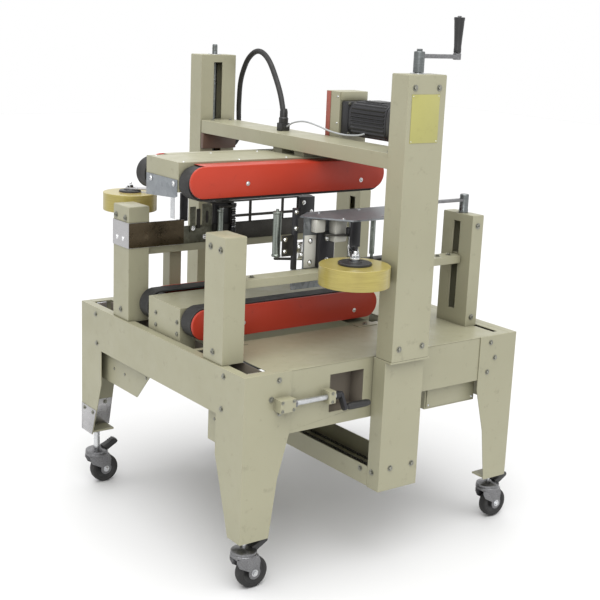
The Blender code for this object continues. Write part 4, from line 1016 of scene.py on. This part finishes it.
roll_piece("near_roll_wound", ROLL_NEAR, 0.105, 0.91, 0.05, "near_roll", "tape_roll_near")
roll_piece("far_roll_wound", ROLL_FAR, 0.091, 1.0, 0.037, "far_roll", "tape_roll_far")
for name, spot, low, body in (("near_spindle_nut", ROLL_NEAR, 0.9912, "near_head"),
                              ("far_spindle_nut", ROLL_FAR, 1.0762, "far_head")):
    parts = [(lathe([(0, low), (0.016, low), (0.016, low + 0.0015), (0, low + 0.0015)], (*spot, 0),
                    steps=24), ZINC),
             (lathe([(0, low + 0.0015), (0.0115, low + 0.0015), (0.0115, low + 0.009),
                     (0.0095, low + 0.0102),
                     (0, low + 0.0102)], (*spot, 0), steps=6), CHROME),
             (lathe([(0, low + 0.009), (0.0055, low + 0.009), (0.0055, low + 0.017), (0.004, low + 0.0185),
                     (0, low + 0.0185)], (*spot, 0), steps=16), CHROME)]
    compound(name, parts, body)
near_arm = bar_between((-0.078, -0.388), ROLL_NEAR, 0.015, 0.9846, 0.9913, 0.001)
finish_piece("near_roll_arm", near_arm, CHROME, "near_head")
far_arm = bar_between((-0.15, 0.225), ROLL_FAR, 0.015, 1.0696, 1.0763, 0.001)
finish_piece("far_roll_arm", far_arm, STAINLESS, "far_head")


def sprung_roller(name, pivot, wheel, radius, link_low, low, high, body, node):
    """The arm, its pivot with a coil spring, and the upright roller with end flanges."""
    link = bar_between(pivot, wheel, 0.009, link_low, link_low + 0.006, 0.001, 0.8)
    base = min(0.935, link_low - 0.001)
    barrel = lathe([(0, base), (0.01, base), (0.0105, base + 0.001), (0.0105, base + 0.012),
                    (0.007, base + 0.013),
                    (0.007, 1.024), (0.0105, 1.025), (0.0105, 1.034), (0.0095, 1.035), (0, 1.035)],
                   (*pivot, 0), steps=24)
    spring = coil(pivot, 0.0088, base + 0.015, 1.0225 if link_low < 1.0 else 1.0215, 9, 0.0011)
    roll = lathe([(0, low - 0.009), (0.0048, low - 0.009), (0.0048, low), (radius - 0.0008, low),
                  (radius, low + 0.0008), (radius, low + 0.006), (radius - 0.0016, low + 0.008),
                  (radius - 0.0016, high - 0.008), (radius, high - 0.006), (radius, high - 0.0008),
                  (radius - 0.0008, high), (0.0048, high), (0.0048, high + 0.007),
                  (0, high + 0.007)], (*wheel, 0), steps=32)
    compound(name, [(roll, ROLLER), (link, BLACKENED), (barrel, BLACK_PAINT), (spring, ZINC)], body, 35,
             replaces=[node])


sprung_roller("near_sprung_roller", (-0.15, -0.258), (-0.24, -0.214), 0.0145, 0.9265, 0.9365, 1.078,
              "near_tension_arm", "roller_arm_near")
sprung_roller("far_sprung_roller", (-0.13, 0.2005), (-0.185, 0.1965), 0.0115, 1.0225, 0.9365, 1.016,
              "far_tension_arm", "roller_arm_far")

# The far guide's near-facing face is a thin sheet of darker stainless, painted shade and painted
# reflection, darker than the guide's other faces.
face = solid_box((-0.5385, 0.1836, 0.913), (-0.3352, 0.1844, 0.994), 0.0003)
finish_piece("far_guide_face", face, PAINTED_DARK_STAINLESS, "far_carriage")

# ---- far tape head ------------------------------------------------------------------------
plate = solid_box((-0.202, 0.2105, 0.907), (0.212, 0.2134, 0.964), 0.0008)
block = solid_box((-0.203, 0.206, 0.966), (-0.146, 0.2134, 1.033), 0.0015)
right = solid_box((0.151, 0.196, 0.968), (0.214, 0.2134, 1.04), 0.002)
compound("far_head_blocks", [(plate, BLACKENED), (block, BLACK_PAINT), (right, BLACK_PAINT)], "far_head")
olive = solid_box((-0.316, 0.214, 0.906), (-0.206, 0.219, 0.966), 0.001)
lug_a = solid_box((-0.296, 0.208, 0.944), (-0.274, 0.2141, 1.03), 0.0015)
lug_b = solid_box((-0.27, 0.208, 0.956), (-0.256, 0.2141, 1.022), 0.0015)
ear = prism([(-0.248, 0.96), (-0.21, 0.96), (-0.21, 1.028), (-0.22, 1.038), (-0.248, 1.038)], 1, 0.209,
            0.2141, 0.001)
# The slot is a thin dark sheet on the ear: painted shade standing for the hollow of the slot.
slot = prism([(x * 0.0058 - 0.23, z * 0.021 + 0.993) for x, z in squircle(1.0, 3.0, 32)], 1, 0.2084, 0.2091)
strip = solid_box((-0.336, 0.202, 0.985), (-0.309, 0.212, 1.08), 0.0015)
foot = solid_box((-0.346, 0.212, 0.906), (-0.3165, 0.217, 0.99), 0.001)
compound("far_feed_plates", [(olive, OLIVE), (lug_a, OLIVE), (lug_b, BLACKENED), (ear, OLIVE), (slot, DARK),
                             (strip, BLACK_PAINT), (foot, OLIVE)], "far_head")
bolts("far_head_bolts", [((-0.33, 0.212, 0.93), NEAR), ((-0.285, 0.208, 0.958), NEAR),
                         ((-0.235, 0.214, 0.925), NEAR), ((0.165, 0.196, 1.02), NEAR),
                         ((0.2, 0.196, 0.985), NEAR), ((-0.175, 0.206, 1.02), NEAR)], "far_head", 0.005,
      "dome",
      CHROME)
bolts("far_top_plate_screws", [((x, y, 1.0411), UP) for x in (-0.19, 0.0, 0.18) for y in (0.232, 0.284)],
      "far_head", 0.0046, "socket", ZINC)
for y_bar, body in ((-0.312, "near_head"), (0.25, "far_head")):
    studs = [((x, y_bar, 0.905), UP) for x in (-0.44, -0.395, 0.35, 0.4)]
    bolts(body + "_bar_bolts", studs, body, 0.0062)

# ---- casters ------------------------------------------------------------------------------
WHEEL_R, TRAIL = 0.05, 0.028


def arc(cx, cz, radius, first, last, count=10):
    return [(cx + radius * math.cos(math.radians(first + (last - first) * k / count)),
             cz + radius * math.sin(math.radians(first + (last - first) * k / count)))
            for k in range(count + 1)]


for end, x in (("infeed", -0.505), ("outfeed", 0.505)):
    for side, y in (("near", -0.478), ("far", 0.478)):
        axle = x + TRAIL
        spot = (x, y, 0)
        top = 0.1996 if (end, side) == ("infeed", "far") else 0.1596
        stem_r = 0.0062 if top < 0.19 else 0.0105
        stem = lathe([(0, 0.12), (stem_r, 0.12), (stem_r, top), (0, top)], spot, steps=20)
        lock = lathe([(0, top - 0.0106), (0.012, top - 0.0106), (0.0128, top - 0.0098),
                      (0.0128, top - 0.0008),
                      (0.0118, top), (0, top)], spot, steps=6)
        race = lathe([(0, 0.107), (0.038, 0.107), (0.0405, 0.1085), (0.0405, 0.115), (0.0385, 0.1165),
                      (0.0385, 0.118), (0.04, 0.1195), (0.039, 0.1245), (0.033, 0.1275), (0.018, 0.1295),
                      (0.013, 0.133), (0, 0.133)], spot, steps=40)
        fork = bmesh.new()
        cheek = ([(x - 0.036, 0.108), (x + 0.04, 0.108), (x + 0.048, 0.086)]
                 + arc(axle, WHEEL_R, 0.0205, 30, -200, 14) + [(x - 0.026, 0.076), (x - 0.036, 0.094)])
        for way in (-1, 1):
            low, high = sorted((y + way * 0.0185, y + way * 0.0212))
            prism(cheek, 1, low, high, 0.0008, fork)
        solid_box((x - 0.036, y - 0.0212, 0.103), (x + 0.04, y + 0.0212, 0.1085), 0.0015, fork)
        pin = pole(0.0052, (axle, 0, WHEEL_R), "y", y - 0.0245, y + 0.0245, 20)
        bolt_head(pin, (axle, y - 0.0212, WHEEL_R), NEAR, 0.0072, True, "hex")
        bolt_head(pin, (axle, y + 0.0212, WHEEL_R), FAR, 0.0072, True, "hex")
        pedal = prism([(x + 0.02, 0.115), (x + 0.036, 0.118), (x + 0.074, 0.14), (x + 0.0765, 0.146),
                       (x + 0.072, 0.154), (x + 0.064, 0.156), (x + 0.034, 0.14), (x + 0.02, 0.135)], 1,
                      y - 0.015, y + 0.015, 0.0025)
        ribs = bmesh.new()
        for k in range(3):
            solid_box((x + 0.047 + 0.007 * k, y - 0.013, 0.147 + 0.0035 * k),
                      (x + 0.0495 + 0.007 * k, y + 0.013, 0.15 + 0.0035 * k), 0.0006, ribs)
        body = f"fork_{end}_{side}"
        compound(f"caster_{end}_{side}_fork",
                 [(race, FORK), (stem, ZINC), (lock, ZINC), (fork, FORK), (pin, ZINC), (pedal, PLASTIC),
                  (ribs, PLASTIC)], body, 35, replaces=[f"caster_fork_{end}_{side}"])
        tyre = lathe([(0.034, -0.014), (0.036, -0.0155), (0.044, -0.0158), (0.048, -0.014),
                      (0.0497, -0.009),
                      (0.05, 0.0), (0.0497, 0.009), (0.048, 0.014), (0.044, 0.0158), (0.036, 0.0155),
                      (0.034, 0.014)], (axle, y, WHEEL_R), "y", 56)
        disc = [(0.0056, -0.0165), (0.015, -0.0165), (0.0165, -0.015), (0.018, -0.011), (0.03, -0.011),
                (0.0342, -0.0135)]
        disc += [(r, -h) for r, h in disc[::-1]]
        centre = lathe(disc, (axle, y, WHEEL_R), "y", 48)
        compound(f"caster_{end}_{side}_wheel", [(tyre, RUBBER), (centre, PLASTIC)],
                 f"wheel_{end}_{side}", 40, replaces=[f"caster_wheel_{end}_{side}"])
